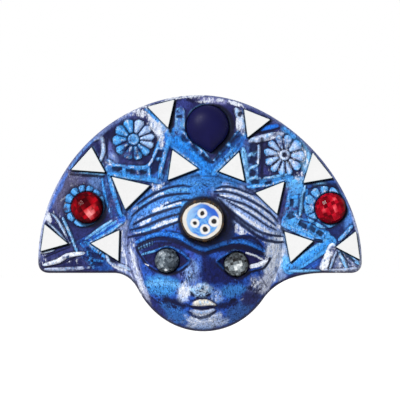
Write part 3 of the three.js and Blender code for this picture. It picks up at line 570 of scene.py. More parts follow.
# Eye sockets are almonds sunk round the stones
SOCKET_WALL = (0.5, 1.6)  # in from the lids
SOCKET_FLOOR = 0.8  # over the back of the stone
for stone, upper, lower in zip(STONES[2:], UPPER_LIDS, LOWER_LIDS):
    top, bottom = rounded(spots(*upper)), rounded(spots(*lower))
    over = np.interp(x, top[:, 0], top[:, 1], left=-FAR, right=-FAR)
    under = np.interp(x, bottom[:, 0], bottom[:, 1], left=FAR, right=FAR)
    within = np.minimum(over - y, y - under)
    sink(step(*SOCKET_WALL, within), node_points(stone)[:, 2].min() + SOCKET_FLOOR)
    sunk_coats_and_shadows.append((step(0.3, 1.2, within), colour(24, 22, 66), 0.95))

# The disc's seat leans back with the forehead, and the drop's follows its outline. Both have painted shade
# round them and a painted shadow to the lower right
DISC_TILT = np.radians(11.5)
DISC_SLACK = 0.3  # between the glue and the floor of the seat
disc_bed = node_points("glue_disc")
disc_middle = (disc_bed.max(0) + disc_bed.min(0)) / 2
disc_radius = np.ptp(node_points("forehead_disc")[:, 0]) / 2
disc_floor = disc_middle[2] - GLUE / 2 - DISC_SLACK - (y - disc_middle[1]) * np.tan(DISC_TILT)
away = np.hypot(x - disc_middle[0], (y - disc_middle[1]) / np.cos(DISC_TILT)) - disc_radius
sink(step(SEAT_GAP + STEEP_WALL[0], SEAT_GAP - STEEP_WALL[1], away), disc_floor)
# Painted shade round the disc, and its painted shadow to the lower right
sunk_coats_and_shadows.append((step(2.2, 1.2, away), BLACK, 0.9))
DISC_SHADE = (2.6, -1.2)
shadow_pool = np.hypot(x - disc_middle[0] - DISC_SHADE[0], y - disc_middle[1] - DISC_SHADE[1]) - disc_radius
sunk_coats_and_shadows.append((step(5.0, 0.6, shadow_pool), BLACK, 0.85))
DROP_RADIUS = 13.4
DROP_TIP = 16.9
DROP_TURN = np.radians(7.7)
drop_points = node_points("blue_drop")
drop_top = drop_points[:, 1].max()
drop_middle = np.array([(drop_points[:, 0].max() + drop_points[:, 0].min()) / 2, drop_top - DROP_RADIUS])


def drop_reach(heading):
    """Radius of the drop's outline: a circle, and two straight sides that leave it and meet in the tip."""
    tangent = np.arccos(DROP_RADIUS / DROP_TIP)
    from_tip = np.abs((heading + np.pi / 2 - DROP_TURN + np.pi) % (2 * np.pi) - np.pi)
    return DROP_RADIUS / np.cos(np.clip(tangent - from_tip, 0, None))


from_drop = np.arctan2(y - drop_middle[1], x - drop_middle[0])
away = np.hypot(x - drop_middle[0], y - drop_middle[1]) - drop_reach(from_drop)
sink(step(SEAT_GAP + STEEP_WALL[0], SEAT_GAP - STEEP_WALL[1], away), drop_points[:, 2].min() - GLUE)
# Painted shade round the drop, and its painted shadow to the lower right
sunk_coats_and_shadows.append((step(1.4, 0.4, away), BLACK, 0.7))
DROP_SHADE = 2.9
pool_turn = np.arctan2(y - drop_middle[1], x - drop_middle[0] - DROP_SHADE)
shadow_pool = np.hypot(x - drop_middle[0] - DROP_SHADE, y - drop_middle[1]) - drop_reach(pool_turn)
sunk_coats_and_shadows.append((step(2.0, 0.4, shadow_pool), BLACK, 0.9))

# Paint: a mottled wash, broad patches of colour, navy in the hollows, then the brush over what stands up


def blurred(field, reach):
    """Running mean along rows and columns, made twice."""
    for axis in (0, 1, 0, 1):
        edge = [(reach + 1, reach) if k == axis else (0, 0) for k in (0, 1)]
        total = np.cumsum(np.pad(field, edge, mode="edge"), axis)
        count = field.shape[axis]
        high = np.take(total, np.arange(2 * reach + 1, 2 * reach + 1 + count), axis)
        field = (high - np.take(total, np.arange(count), axis)) / (2 * reach + 1)
    return field


inner = step(1.5, 4, inset)
cavity = (height - blurred(height, 4)) * inner
creases = (height - blurred(height, 2)) * inner
join = np.exp(-(((head_part - slab) / 4) ** 2))
patches = mottle(x / 6, y / 6) * 0.5 + mottle(x / 2.2 + 40, y / 2.2) * 0.3
patches = patches + mottle(x / 0.9, y / 0.9 + 70) * 0.2
paint = PURPLE + (NAVY - PURPLE) * step(0.3, 0.7, patches)[..., None]
paint = paint + (SLATE - paint) * (0.6 * step(0.5, 0.85, mottle(x / 2.6 + 9, y / 2.6 + 33)))[..., None]
on_face = step(-1, 1, head_part - slab)
worn = (1 - on_face) * (1 - 0.8 * sum(plain_beads))
# Shares of white, navy and sky blue, which the material breaks up into streaks and specks
pale_brush = 0.55 * step(0.12, 0.5, creases) * worn
navy_specks = 0.36 + 0.06 * on_face
sky_brush = 0.45 * step(0.05, 0.4, creases) * np.maximum(worn, on_face)


def brush(where, hue, cover=1.0):
    """Lays a colour over the paint, as thick as the mask says."""
    global paint
    paint = paint + (hue - paint) * np.clip(where * cover, 0, 1)[..., None]


def bristles(length, across):
    """Streaks of a dry brush: patchiness drawn out along the stroke and fine across it, both in mm."""
    return 0.55 * mottle(length / 6, across / 0.95) + 0.45 * mottle(length / 1.9 + 31, across / 0.7 + 17)


def patch(place, spread, turn):
    """Ellipse, 1 inside the spread in squares and 0 well outside it, and the streaks along its length."""
    cx, cy = spots(place)[0]
    a, b = turned(cx, cy, turn)
    broken = mottle(x / 2.4 + cx, y / 2.4 + cy) - 0.5
    fall = step(1.3, 0.4, np.hypot(a / (spread[0] * SQUARE), b / (spread[1] * SQUARE)) + 0.4 * broken)
    if max(spread) < 1.8 * min(spread):
        return fall, 0.5 * mottle(x / 1.5 + cx, y / 1.5 + cy) + 0.5 * mottle(x / 0.8 + cy, y / 0.8 + cx)
    return fall, bristles(*((a + cx, b + cy) if spread[0] > spread[1] else (b + cy, a + cx)))


def stroke(path, width, hue, cover, dry):
    """Dry brush drawn along a path: bristle lines run with it, and those above the dryness leave paint.

    White and sky strokes raise the shares that the material breaks up. Other colours go on the clay
    at once.
    """
    line = rounded(spots(*path))
    d, share, offset = along(line, reach=width * SQUARE)
    length = np.hypot(*np.diff(line, axis=0).T).sum()
    bristle = bristles(share * length + line[0, 0], offset + line[0, 1])
    edge = step(1.15, 0.45, d / (width / 2 * SQUARE) + 0.5 * (bristle - 0.5))
    laid = edge * step(dry - 0.22, dry + 0.22, bristle + 0.08 * np.clip(cavity, -2, 2)) * cover
    if hue is LILAC or hue is WHITE:
        np.maximum(pale_brush, laid, out=pale_brush)
    elif hue is SKY:
        np.maximum(sky_brush, laid, out=sky_brush)
    else:
        brush(laid, hue)
        pale_brush[...] *= 1 - np.clip(laid, 0, 1)
        sky_brush[...] *= 1 - np.clip(laid, 0, 1)


FLOOR_WASHES = [  # place, spread in squares, turn, colour, cover
    ((82, 190), (42, 34), 0, colour(74, 76, 116), 0.65),
    ((111, 150), (6, 15), 0, colour(88, 100, 168), 0.8),
    ((64, 190), (18, 26), 0, colour(86, 84, 108), 0.55),
    ((74, 228), (22, 18), 0, colour(36, 42, 92), 0.8),
    ((100, 182), (12, 14), 0, colour(92, 128, 186), 0.7),
    ((205, 118), (42, 32), 0, colour(28, 28, 78), 0.9),
    ((183, 104), (9, 7), 0, colour(50, 60, 128), 0.7),
    ((328, 206), (32, 38), 0, colour(40, 84, 162), 0.85),
    ((338, 228), (14, 10), 0, NAVY, 0.85),
    ((322, 184), (20, 4), -8, INK, 0.85),
    ((58, 252), (18, 6), 12, PURPLE, 0.8),
    ((66, 265), (22, 4), 6, NAVY, 0.8),
    ((310, 262), (14, 7), 0, COBALT, 0.9),
    ((345, 259), (16, 12), 0, colour(120, 136, 176), 0.75),
    ((305, 158), (9, 34), 30, colour(118, 180, 230), 0.95),
    ((292, 134), (14, 7), -35, AZURE, 0.8),
    ((268, 164), (9, 16), 0, PURPLE, 0.85),
    ((104, 265), (12, 8), 0, BLUE, 0.8),
    ((206, 180), (52, 14), 0, colour(54, 118, 192), 0.9),
    ((122, 225), (8, 7), 0, LILAC, 0.5),
    ((296, 183), (12, 7), 0, SKY, 0.7),
    ((160, 128), (8, 18), 40, colour(150, 176, 218), 0.8),
    ((124, 116), (14, 5), 32, colour(96, 120, 186), 0.8),
    ((110, 136), (6, 6), 0, INK, 0.7),
    ((111, 159), (9, 8), 0, colour(104, 126, 180), 0.85),
    ((349, 212), (6, 22), -8, colour(72, 122, 194), 0.9),
    ((309, 203), (10, 17), 0, colour(50, 100, 178), 0.85),
    ((56, 192), (4, 26), -28, colour(74, 106, 182), 0.85),
    ((214, 101), (18, 4), -4, colour(118, 120, 172), 0.8),
]
FACE_WASHES_AND_SHADE = [
    ((203, 266), (86, 70), 0, colour(32, 76, 166), 0.9),
    ((160, 208), (42, 26), 28, colour(70, 128, 206), 0.9),
    ((190, 202), (20, 24), 0, colour(52, 122, 200), 0.9),
    ((250, 212), (44, 21), -34, colour(138, 166, 222), 0.95),
    # painted shadow of the disc on the forehead to its right
    ((229, 228), (8, 24), 0, colour(22, 34, 70), 0.95),
    ((166, 246), (30, 6), 4, colour(22, 24, 74), 0.95),
    ((240, 249), (32, 7), -6, colour(12, 12, 40), 0.97),
    ((178, 236), (20, 6), -22, colour(24, 100, 212), 0.9),
    ((172, 273), (24, 6), -8, colour(26, 32, 96), 0.85),
    # painted shade under the right eye and beside the nose
    ((222, 270), (26, 15), 0, colour(22, 26, 72), 0.97),
    ((161, 284), (22, 12), -4, colour(54, 124, 192), 0.97),
    ((232, 290), (16, 7), 8, colour(46, 104, 170), 0.95),
    ((174, 302), (13, 4.5), -18, INK, 0.6),
    ((224, 305), (13, 3.5), 18, NAVY, 0.55),
    ((174, 312), (20, 10), -35, colour(42, 92, 160), 0.92),
    ((238, 312), (18, 9), 38, colour(42, 80, 142), 0.9),
    # painted shade along the right jaw
    ((252, 297), (10, 9), 30, colour(28, 34, 84), 0.9),
    # painted shade along the left jaw
    ((156, 307), (20, 5.5), -48, colour(26, 28, 88), 0.85),
    ((200, 329), (28, 3), 0, NAVY, 0.7),
    ((130, 262), (12, 38), 6, colour(98, 114, 164), 0.85),
    # the steep right temple is pale with dry brush, and lighter still as painted light against the shade on
    # that side
    ((275, 258), (14, 30), -4, colour(150, 170, 206), 0.9),
    ((256, 284), (9, 12), -20, colour(92, 106, 146), 0.85),
    ((286, 264), (6, 10), 0, colour(84, 164, 224), 0.9),
    ((280, 276), (8, 4), 18, colour(96, 120, 168), 0.8),
    ((197, 270), (7, 15), 0, colour(50, 86, 162), 0.75),
    ((190, 257), (6, 8), 0, colour(50, 60, 140), 0.7),
    ((190, 273), (11, 12), 0, colour(72, 90, 156), 0.8),
    ((191, 270), (8, 13), 0, colour(112, 142, 190), 0.8),
    # painted shade under the right eye and beside the nose
    ((222, 274), (28, 11), 0, colour(14, 22, 74), 0.97),
    # painted shade on the right side of the nose
    ((207, 268), (6, 18), 0, colour(16, 26, 80), 0.9),
    ((124, 258), (8, 38), 4, colour(132, 146, 188), 0.7),
    ((136, 274), (6, 30), 14, colour(160, 168, 200), 0.7),
    ((143, 288), (4, 18), 24, colour(180, 186, 210), 0.7),
    ((266, 282), (7, 16), -24, colour(176, 182, 204), 0.8),
    ((184, 291), (8, 11), -10, colour(180, 198, 228), 0.8),
    ((200.5, 290), (12.5, 8.5), 0, colour(150, 184, 222), 0.9),
    ((204, 288), (5, 5), 0, colour(140, 150, 150), 0.6),
    ((216, 296), (7.5, 8.5), 0, colour(112, 150, 208), 0.6),
    ((206, 319.5), (23, 10.5), 0, colour(160, 178, 210), 0.75),
    ((203, 327), (11, 4), 0, colour(110, 140, 190), 0.6),
    ((167, 299), (5, 4), 0, INK, 0.9),
    ((179, 303), (11, 4.6), -16, INK, 0.7),
    ((222, 304.5), (9, 4), 8, INK, 0.6),
    ((233.5, 299.5), (3.6, 3.2), 0, BLACK, 0.95),
    # painted shade along the right jaw
    ((250, 297), (13, 9), 30, colour(30, 34, 82), 0.85),
]
PALE_PATCHES = [  # place, spread in squares, turn, share
    ((122, 256), (6, 36), 4, 0.38), ((133, 272), (8, 26), 12, 0.44), ((274, 257), (12, 28), -4, 0.9),
    ((248, 208), (40, 16), -34, 0.56), ((240, 230), (10, 6), -20, 0.85), ((166, 207), (15, 6), 18, 0.86),
    ((156, 197), (9, 4), 30, 0.82), ((142, 221), (12, 6), 25, 0.74), ((166, 223), (16, 4), 22, 0.78),
    ((157, 187), (9, 5), 5, 0.8), ((140, 233), (12, 3), 12, 0.6), ((134, 212), (9, 5), 35, 0.6),
    ((184, 290.5), (7.5, 10.5), -10, 0.86), ((205, 319.5), (22, 9.5), 0, 0.72),
    ((195, 318), (10, 8), 0, 0.78), ((200, 287), (11, 7), 0, 0.62), ((216, 296), (7, 8.5), 0, 0.62),
    ((256, 283), (8, 11), -20, 0.6), ((266, 284), (6, 14), -26, 0.75), ((240, 298), (5, 4), 0, 0.45),
    ((189, 273), (8, 10), 0, 0.42), ((143, 113), (12, 5), -20, 0.85), ((156, 126), (7, 16), 28, 0.95),
    ((162, 142), (5, 12), 0, 0.8), ((126, 116), (10, 4), 30, 0.5), ((178, 122), (10, 14), 0, 0.35),
    ((206, 100), (30, 3.5), -2, 0.75), ((236, 104), (12, 3), -20, 0.95), ((240, 120), (6, 14), -12, 0.9),
    ((266, 138), (15, 4), 12, 0.8), ((284, 155), (20, 20), 0, 0.55), ((306, 163), (5, 22), 16, 0.75),
    ((300, 177), (6, 7), 0, 0.8), ((276, 133), (12, 4), 10, 0.4), ((298, 216), (6, 4), 0, 0.6),
    ((290, 190), (12, 14), 0, 0.25), ((345, 262), (14, 15), 0, 0.6), ((66, 262), (26, 6), 10, 0.5),
    ((48, 216), (4, 9), 10, 1.0), ((60, 222), (6, 16), 30, 0.4), ((76, 180), (18, 11), 0, 0.4),
    ((62, 206), (9, 16), 0, 0.34), ((112, 158), (6, 8), 0, 0.34), ((266, 172), (8, 10), 0, 0.36),
    ((347, 208), (4, 13), 0, 0.36), ((110, 163), (6, 5), 0, 0.5), ((122, 222), (8, 7), 0, 0.5),
    ((45, 260), (5, 8), 0, 0.6), ((302, 231), (16, 4), -18, 0.45), ((311, 205), (4, 12), 0, 0.5),
    ((100, 178), (5, 7), 0, 0.4), ((120, 268), (11, 3), -20, 0.9),
]
SPECK_PATCHES = [
    ((202, 290), (11, 9), 0, 0.55), ((254, 288), (12, 14), -20, 0.65), ((226, 277), (26, 8), 0, 0.65),
    ((160, 298), (22, 10), -40, 0.6), ((178, 304), (14, 7), -15, 0.7), ((228, 304), (14, 7), 15, 0.65),
    ((188, 272), (14, 12), 0, 0.6), ((310, 215), (26, 36), 0, 0.35), ((206, 187), (9, 8), 0, 0.5),
    ((195, 101), (18, 5), 0, 0.6), ((292, 204), (9, 18), 0, 0.5), ((94, 257), (15, 13), 0, 0.6),
    ((108, 196), (8, 20), 0, 0.5), ((226, 152), (15, 16), 0, 0.55), ((345, 258), (16, 12), 0, 0.45),
    ((205, 324), (26, 8), 0, 0.5), ((248, 310), (16, 8), 40, 0.4), ((260, 160), (30, 40), 0, 0.3),
    ((130, 262), (10, 34), 6, 0.3),
]
SKY_PATCHES = [
    ((165, 203), (30, 18), 25, 0.55), ((248, 208), (40, 16), -34, 0.4), ((253, 164), (8, 20), 0, 0.5),
    ((195, 182), (30, 8), 0, 0.45), ((160, 284), (20, 10), 0, 0.35), ((306, 212), (24, 32), 0, 0.4),
    ((130, 262), (14, 34), 4, 0.4), ((178, 122), (11, 16), 0, 0.6), ((347, 208), (5, 14), 0, 0.5),
    ((280, 182), (30, 6), 0, 0.45), ((308, 256), (22, 12), 35, 0.4), ((190, 270), (8, 11), 0, 0.42),
    ((174, 312), (18, 8), -35, 0.25),
]
STROKES_AND_SHADOWS = [  # path, width in squares, colour, cover, dryness
    ([(123, 232), (123, 254), (131, 284)], 7, LILAC, 0.85, 0.48),
    ([(132, 240), (134, 262), (143, 294)], 7, LILAC, 0.9, 0.46),
    ([(128, 236), (129, 262), (138, 288)], 3, PURPLE, 0.7, 0.4),
    ([(138, 252), (139, 266), (147, 286)], 3, NAVY, 0.6, 0.45),
    ([(258, 270), (262, 279), (267, 287)], 1.6, NAVY, 0.8, 0.2),
    ([(276, 268), (278, 275)], 4, SLATE, 0.6, 0.4),
    ([(150, 283), (162, 282), (178, 285)], 8, colour(104, 172, 232), 0.7, 0.42),
    ([(188, 190), (170, 190), (155, 197), (140, 207)], 4.5, SKY, 0.9, 0.3),
    ([(186, 203), (165, 208), (145, 221)], 6, SKY, 0.9, 0.3),
    ([(182, 218), (160, 225), (136, 235)], 5, SKY, 0.9, 0.32),
    ([(216, 191), (232, 190), (250, 196), (268, 210)], 3.4, LILAC, 0.9, 0.3),
    ([(220, 195.5), (240, 198), (258, 207), (274, 221)], 3.6, LILAC, 0.9, 0.28),
    ([(226, 201), (245, 208), (262, 218), (276, 228)], 4, LILAC, 0.9, 0.3),
    ([(228, 207), (245, 218), (262, 229), (282, 239)], 4.6, LILAC, 1.0, 0.26),
    ([(236, 222), (252, 234), (266, 242)], 4, LILAC, 0.9, 0.36),
    ([(180, 202), (166, 206), (154, 211)], 5, WHITE, 1.0, 0.32),
    ([(178, 219), (165, 223), (153, 228)], 3.6, WHITE, 1.0, 0.32),
    ([(163, 193.5), (153, 199)], 4, WHITE, 0.9, 0.36),
    ([(150, 219), (141, 225)], 5, WHITE, 0.8, 0.4),
    ([(206, 190), (204, 200)], 12, BLUE, 0.6, 0.4),
    ([(136.5, 247.5), (141, 256), (148, 265), (158, 271), (170, 273.5), (180, 271),
     (188, 265)], 3.4, INK, 0.95, 0.05),
    ([(218, 264), (226, 272), (238, 277.5), (249, 273)], 4, INK, 0.95, 0.1),
    ([(249, 257), (256, 259.5), (262, 261)], 4, colour(22, 22, 92), 0.95, 0.1),
    ([(165, 299), (173, 302), (182, 306)], 6, INK, 0.9, 0.5),
    ([(231, 300), (234.5, 299)], 4, BLACK, 0.95, 0.1),
    ([(218, 306), (226, 305), (232, 301)], 4, INK, 0.65, 0.5),
    ([(191.6, 292), (193.4, 294.2)], 2.4, BLACK, 0.95, 0.0),
    ([(206.4, 295), (209.4, 293.6)], 2.2, INK, 0.95, 0.1),
    # painted shade down the right side of the nose
    ([(203, 252), (206, 266), (209, 281)], 6, colour(24, 32, 84), 0.9, 0.25),
    ([(190, 260), (194, 270)], 3, PURPLE, 0.7, 0.4),
    ([(131, 112), (146, 115), (155, 125), (160, 139), (161, 150)], 10, LILAC, 0.75, 0.4),
    ([(148, 113), (160, 124), (168, 133)], 5, SKY, 0.8, 0.35),
    ([(146, 109), (158, 121)], 3, AZURE, 0.9, 0.2),
    ([(70, 168), (82, 151), (95, 138)], 3.4, colour(84, 134, 206), 0.95, 0.15),
    ([(66, 174), (57, 190), (50, 207)], 4.4, colour(70, 104, 182), 0.95, 0.2),
    # painted shadow under a tile
    ([(71, 174.5), (88, 176), (104, 176.5)], 2.6, BLACK, 0.95, 0.2),
    ([(262, 129), (276, 126)], 5, colour(30, 112, 220), 0.95, 0.15),
    ([(256, 133), (268, 131), (279, 128)], 3, INK, 0.95, 0.1),
    ([(311, 156), (306, 172)], 5, SKY, 0.8, 0.35),
    ([(290, 184), (302, 183)], 6, SKY, 0.7, 0.4),
    ([(107, 140), (107, 158)], 3, INK, 0.9, 0.1),
    ([(262, 139), (262, 160), (262, 178)], 4, INK, 0.9, 0.1),
    # painted shadow to the right of a tile
    ([(174.5, 101), (172.5, 116), (170, 131)], 5, BLACK, 0.98, 0.0),
    ([(176, 99), (184, 99), (193, 101)], 4, INK, 0.9, 0.3),
    ([(310, 268), (318, 258)], 6, SKY, 0.6, 0.4),
    ([(119, 212), (127, 222)], 7, SKY, 0.6, 0.42),
    ([(278, 226), (281, 229)], 4, WHITE, 1.0, 0.2),
    ([(282, 229), (284, 232)], 5, BLACK, 0.9, 0.1),
    ([(97, 234), (116, 221)], 3, SKY, 0.9, 0.3),
    ([(45, 257), (60, 251), (70, 247)], 2.2, INK, 0.9, 0.1),
    ([(46, 267), (62, 263.5), (76, 257)], 2, INK, 0.95, 0.1),
    ([(96, 136), (99, 152)], 3, NAVY, 0.8, 0.2),
    # painted shadow to the lower right of the right gem
    ([(341, 218), (346, 214), (348, 206)], 5, BLACK, 0.7, 0.2),
    ([(331, 256), (328, 270)], 1.8, INK, 0.9, 0.1),
    ([(345, 253), (354, 261)], 2.6, INK, 0.9, 0.15),
    ([(340, 252), (350, 264)], 2, INK, 0.8, 0.2),
    ([(117, 171), (121, 168)], 2.5, INK, 0.8, 0.1),
    ([(309, 189), (318, 185.5), (334, 187), (341, 196)], 2.4, INK, 0.9, 0.1),
    ([(326, 239.5), (308, 251.5), (291, 264)], 2.6, SKY, 1.0, 0.2),
    ([(304.4, 193), (303, 203), (304.6, 212)], 2.2, INK, 0.85, 0.1),
    ([(309, 217.4), (318, 221.6), (328, 228.6), (333, 235)], 2.8, NAVY, 0.9, 0.15),
    ([(97, 136), (107, 126.5), (118, 118)], 8, colour(104, 130, 186), 0.8, 0.36),
    ([(112, 121.5), (124, 113.5), (138, 108.6), (150, 107)], 7, LILAC, 0.7, 0.42),
    ([(162, 102), (176, 98), (190, 96), (203, 95.4)], 4.4, LILAC, 0.85, 0.32),
    ([(299, 194), (298.5, 205), (297.5, 214)], 2.2, NAVY, 0.85, 0.15),
    ([(284, 224), (300, 230), (315, 236.5)], 2.6, SKY, 0.9, 0.3),
]
LAST_STROKES = [
    ([(201.6, 296.4), (201.8, 298.6)], 2.4, INK, 0.7, 0.0),
    ([(195, 304.6), (202, 305.4), (209, 304.4)], 2, SKY, 0.5, 0.4),
    ([(178, 140), (192, 153), (208, 169)], 10, colour(16, 110, 204), 0.68, 0.34),
    ([(216, 166), (228, 152), (240, 140)], 8, colour(20, 76, 152), 0.75, 0.38),
    ([(84, 247), (93, 256), (102, 266)], 12, colour(18, 62, 134), 0.5, 0.4),
    ([(177, 249.6), (184, 254.6), (189, 259.8)], 2.2, BLUE, 0.9, 0.1),
    ([(189, 261.6), (184, 265.6), (178, 269)], 2.2, BLUE, 0.7, 0.2),
    ([(217, 260), (224, 255), (231, 252.4)], 2.2, BLUE, 0.8, 0.1),
    ([(218, 262), (224.6, 268), (232, 272.4)], 2.2, BLUE, 0.7, 0.2),
    ([(344, 194), (350, 208), (354, 224)], 5, colour(66, 112, 184), 0.75, 0.3),
    ([(224, 242.5), (236, 240), (250, 242), (262, 249)], 3, NAVY, 0.6, 0.42),
    ([(246, 252.5), (254, 255), (263, 259.5)], 2.4, LILAC, 1.1, 0.0),
    ([(251, 266), (259, 264), (267, 260.5)], 5, WHITE, 1.5, -0.3),
    ([(247, 272), (258, 269.5), (265, 266.5), (270, 258)], 3, BLACK, 0.97, -0.3),
    ([(145.6, 263.4), (148.6, 265.2)], 2.2, LILAC, 0.8, 0.1),
    ([(142.6, 254), (148, 252.6), (155, 250.6)], 3.2, SKY, 1.0, 0.1),
    ([(137, 250), (146, 246), (158, 242.5), (172, 243)], 2, BLACK, 0.8, 0.2),
]
PALE_FROM = 0.25  # least of a pale paint's three values
WASH_EDGE = 0.48
for *place, hue, cover in FLOOR_WASHES + FACE_WASHES_AND_SHADE:
    fall, streak = patch(*place)
    soft = 0.2 if hue.min() > PALE_FROM else 0.36  # pale paint is thick and leaves a harder edge
    streaked = fall + 0.75 * (streak - 0.5) * np.sqrt(fall)
    brush(step(WASH_EDGE - soft, WASH_EDGE + soft, streaked), hue, cover)
# Navy runs into the broad hollows and softens
brush(step(0.15, 1.1, -cavity) * (1 - join), INK, 0.85)
for where, hue, cover in floor_coats:
    brush(where * step(0.2, 0.5, patches), hue, cover)
paint = 0.5 * (paint + np.stack([blurred(paint[..., k], 1) for k in range(3)], -1))
# Colour goes on what stands up, its edges are rubbed with sky blue, and the fine creases stay navy
for where, hue, cover, sky in raised_coats:
    brush(where * step(0.22, 0.5, patches), hue, cover)
    np.maximum(sky_brush, sky * where, out=sky_brush)
    if hue.min() > PALE_FROM:
        navy_specks *= 1 - 0.6 * where
brush(step(0.12, 0.5, creases) * (1 - on_face) * step(0.3, 0.6, patches), SKY, 0.5)
brush(step(0.08, 0.4, -creases) * (1 - join) * step(0.2, 0.55, patches), INK, 0.9)
# The dry brush comes next, then the dark in grooves and seats with the painted shade and shadows round the
# inlays, and the last touches
for layer, table in ((pale_brush, PALE_PATCHES), (navy_specks, SPECK_PATCHES), (sky_brush, SKY_PATCHES)):
    for *place, share in table:
        fall, streak = patch(*place)
        np.maximum(layer, fall * (share - 0.1) + 0.7 * (streak - 0.5) * np.sqrt(fall), out=layer)
for drawn in STROKES_AND_SHADOWS:
    stroke(*drawn)
for where, hue, cover in sunk_coats_and_shadows:
    brush(where, hue, cover)
    pale_brush *= 1 - where
    sky_brush *= 1 - where
for drawn in LAST_STROKES:
    stroke(*drawn)

# The rim is rubbed grey along the crown, darkened along the lower edges as painted shade, worn pale at the
# outer end of the left wing, and lightened at the outer end of the right wing as painted light
below = step(2, -6, y)
brush(step(1.9, 0.7, inset) * (1 - below), colour(98, 108, 150), 0.75)
# painted shade along the lower edges
brush(step(2.2, 0.9, inset) * below, colour(30, 26, 42), 0.85)
brush(step(1.9, 0.7, inset) * step(-82, -98, x) * step(-10, 6, y), LILAC, 0.55)
# painted light on the right end, against the shade that falls there
brush(step(2.2, 0.8, inset) * step(86, 98, x) * step(-11, -6, y) * step(34, 20, y), LILAC, 0.65)
speckle = mottle(x / 0.8 + 13, y / 0.8 + 29) * 0.5 + mottle(x / 1.8, y / 1.8 + 51) * 0.5
paint = paint * (0.8 + 0.8 * speckle)[..., None]

# The sheet, with a wall round it and a flat back, becomes one closed mesh


def to_world(px, py, pz):
    """Frame coordinates in metres of points given in mm across, up and out from the crown's centre."""
    return np.stack([px + CROWN_CENTRE[0], -pz, py + CROWN_CENTRE[1]], -1) / 1000


def grid_faces(rows, columns):
    """Corner numbers of the four-sided faces of a grid, row by row."""
    start = np.arange(rows)[:, None] * (columns + 1) + np.arange(columns)
    return np.stack([start, start + 1, start + columns + 2, start + columns + 1], -1).reshape(-1, 4)


def ring_faces(first, second):
    """Four-sided faces between two rings of points, facing out when the second is nearer the front."""
    return np.stack([first, np.roll(first, -1), np.roll(second, -1), second], -1)


def border(number):
    """Point numbers round the border of a grid, along its first row and then back over the others."""
    return np.concatenate([number[0], number[1:, -1], number[-1, -2::-1], number[-2:0:-1, 0]])


def new_piece(name, points, faces, sharp=40):
    """Object at the origin from points in metres, smooth except across edges sharper than the angle."""
    mesh = bpy.data.meshes.new(name)
    mesh.from_pydata(points, [], faces)
    mesh.shade_smooth()
    mesh.set_sharp_from_angle(angle=np.radians(sharp))
    piece = bpy.data.objects.new(name, mesh)
    bpy.context.collection.objects.link(piece)
    return piece


def ring_stack(rings):
    """Closed form from rings of points, hindmost first: walls between the rings and a lid at each end."""
    rings = np.asarray(rings)
    number = np.arange(rings.shape[0] * rings.shape[1]).reshape(rings.shape[:2])
    walls = [ring_faces(a, b) for a, b in zip(number, number[1:])]
    points = to_world(*rings.reshape(-1, 3).T)
    return points, np.concatenate(walls).tolist() + [number[0, ::-1].tolist(), number[-1].tolist()]


def paint_points(piece, colours, name="paint"):
    """Puts a colour on each point of a piece, in an attribute that its material reads."""
    values = np.ones((len(piece.data.vertices), 4))
    values[:, :3] = colours
    piece.data.color_attributes.new(name, "FLOAT_COLOR", "POINT").data.foreach_set("color", values.ravel())


number = np.arange(x.size).reshape(x.shape)
edge = border(number)
rim = np.stack([x.ravel()[edge], y.ravel()[edge]], -1)
tangent = np.roll(rim, -1, 0) - np.roll(rim, 1, 0)
inward = np.stack([-tangent[:, 1], tangent[:, 0]], -1) / np.maximum(np.hypot(*tangent.T), 1e-9)[:, None]
WALL = [(0.0, 5.0), (0.0, 2.0), (0.6, 0.6), (2.0, 0.0), (2.6, 0.0)]  # in from the rim, out from the back
points = [to_world(x.ravel(), y.ravel(), height.ravel())]
faces = [grid_faces(ROWS, COLUMNS)]
upper_ring = edge
for k, (depth, level) in enumerate(WALL):
    ring = rim + inward * depth
    points.append(to_world(ring[:, 0], ring[:, 1], np.full(len(ring), level)))
    lower_ring = x.size + k * len(edge) + np.arange(len(edge))
    faces.append(ring_faces(lower_ring, upper_ring))
    upper_ring = lower_ring
CLAY_SHARP = 55  # degrees, above which an edge of the clay is crisp
clay_faces = np.concatenate(faces).tolist() + [upper_ring[::-1].tolist()]
clay = new_piece("clay_plaque", np.concatenate(points), clay_faces, CLAY_SHARP)
WALL_PAINT = colour(70, 76, 112)
RAW_CLAY = colour(206, 192, 172)
clay_paint = np.empty((len(clay.data.vertices), 3))
clay_paint[: x.size] = paint.reshape(-1, 3)
clay_paint[x.size :] = WALL_PAINT
clay_paint[x.size + 2 * len(edge) :] = RAW_CLAY
paint_points(clay, clay_paint)
shares = np.zeros((len(clay.data.vertices), 3))
shares[: x.size] = np.stack([pale_brush, navy_specks, sky_brush], -1).reshape(-1, 3)
paint_points(clay, shares, "brush_shares")

# Back: a hollow behind the face keeps the clay even in thickness, and a blind hole slants up for the nail
HOLLOW_SIZE = (36.6, 38.4, 19.0)
HOLLOW_MIDDLE = (HEAD[0], 2.0, -1.5)
NAIL_HEIGHT = 61.0
NAIL_HOLE = 9.0
NAIL_DEPTH = 6.5
NAIL_TILT = np.radians(15)
NAIL_TAPER = 0.8  # length of the narrower end of the hole
NAIL_END = 0.8  # share of the radius that is left there
NAIL_STEPS = 32
HOLLOW_RINGS = 34
HOLLOW_STEPS = 96
HOLLOW_POLE = 2  # degrees from each pole to the nearest ring


def once_round(count):
    """Angles at equal steps of one full turn."""
    return np.linspace(0, 2 * np.pi, count, endpoint=False)


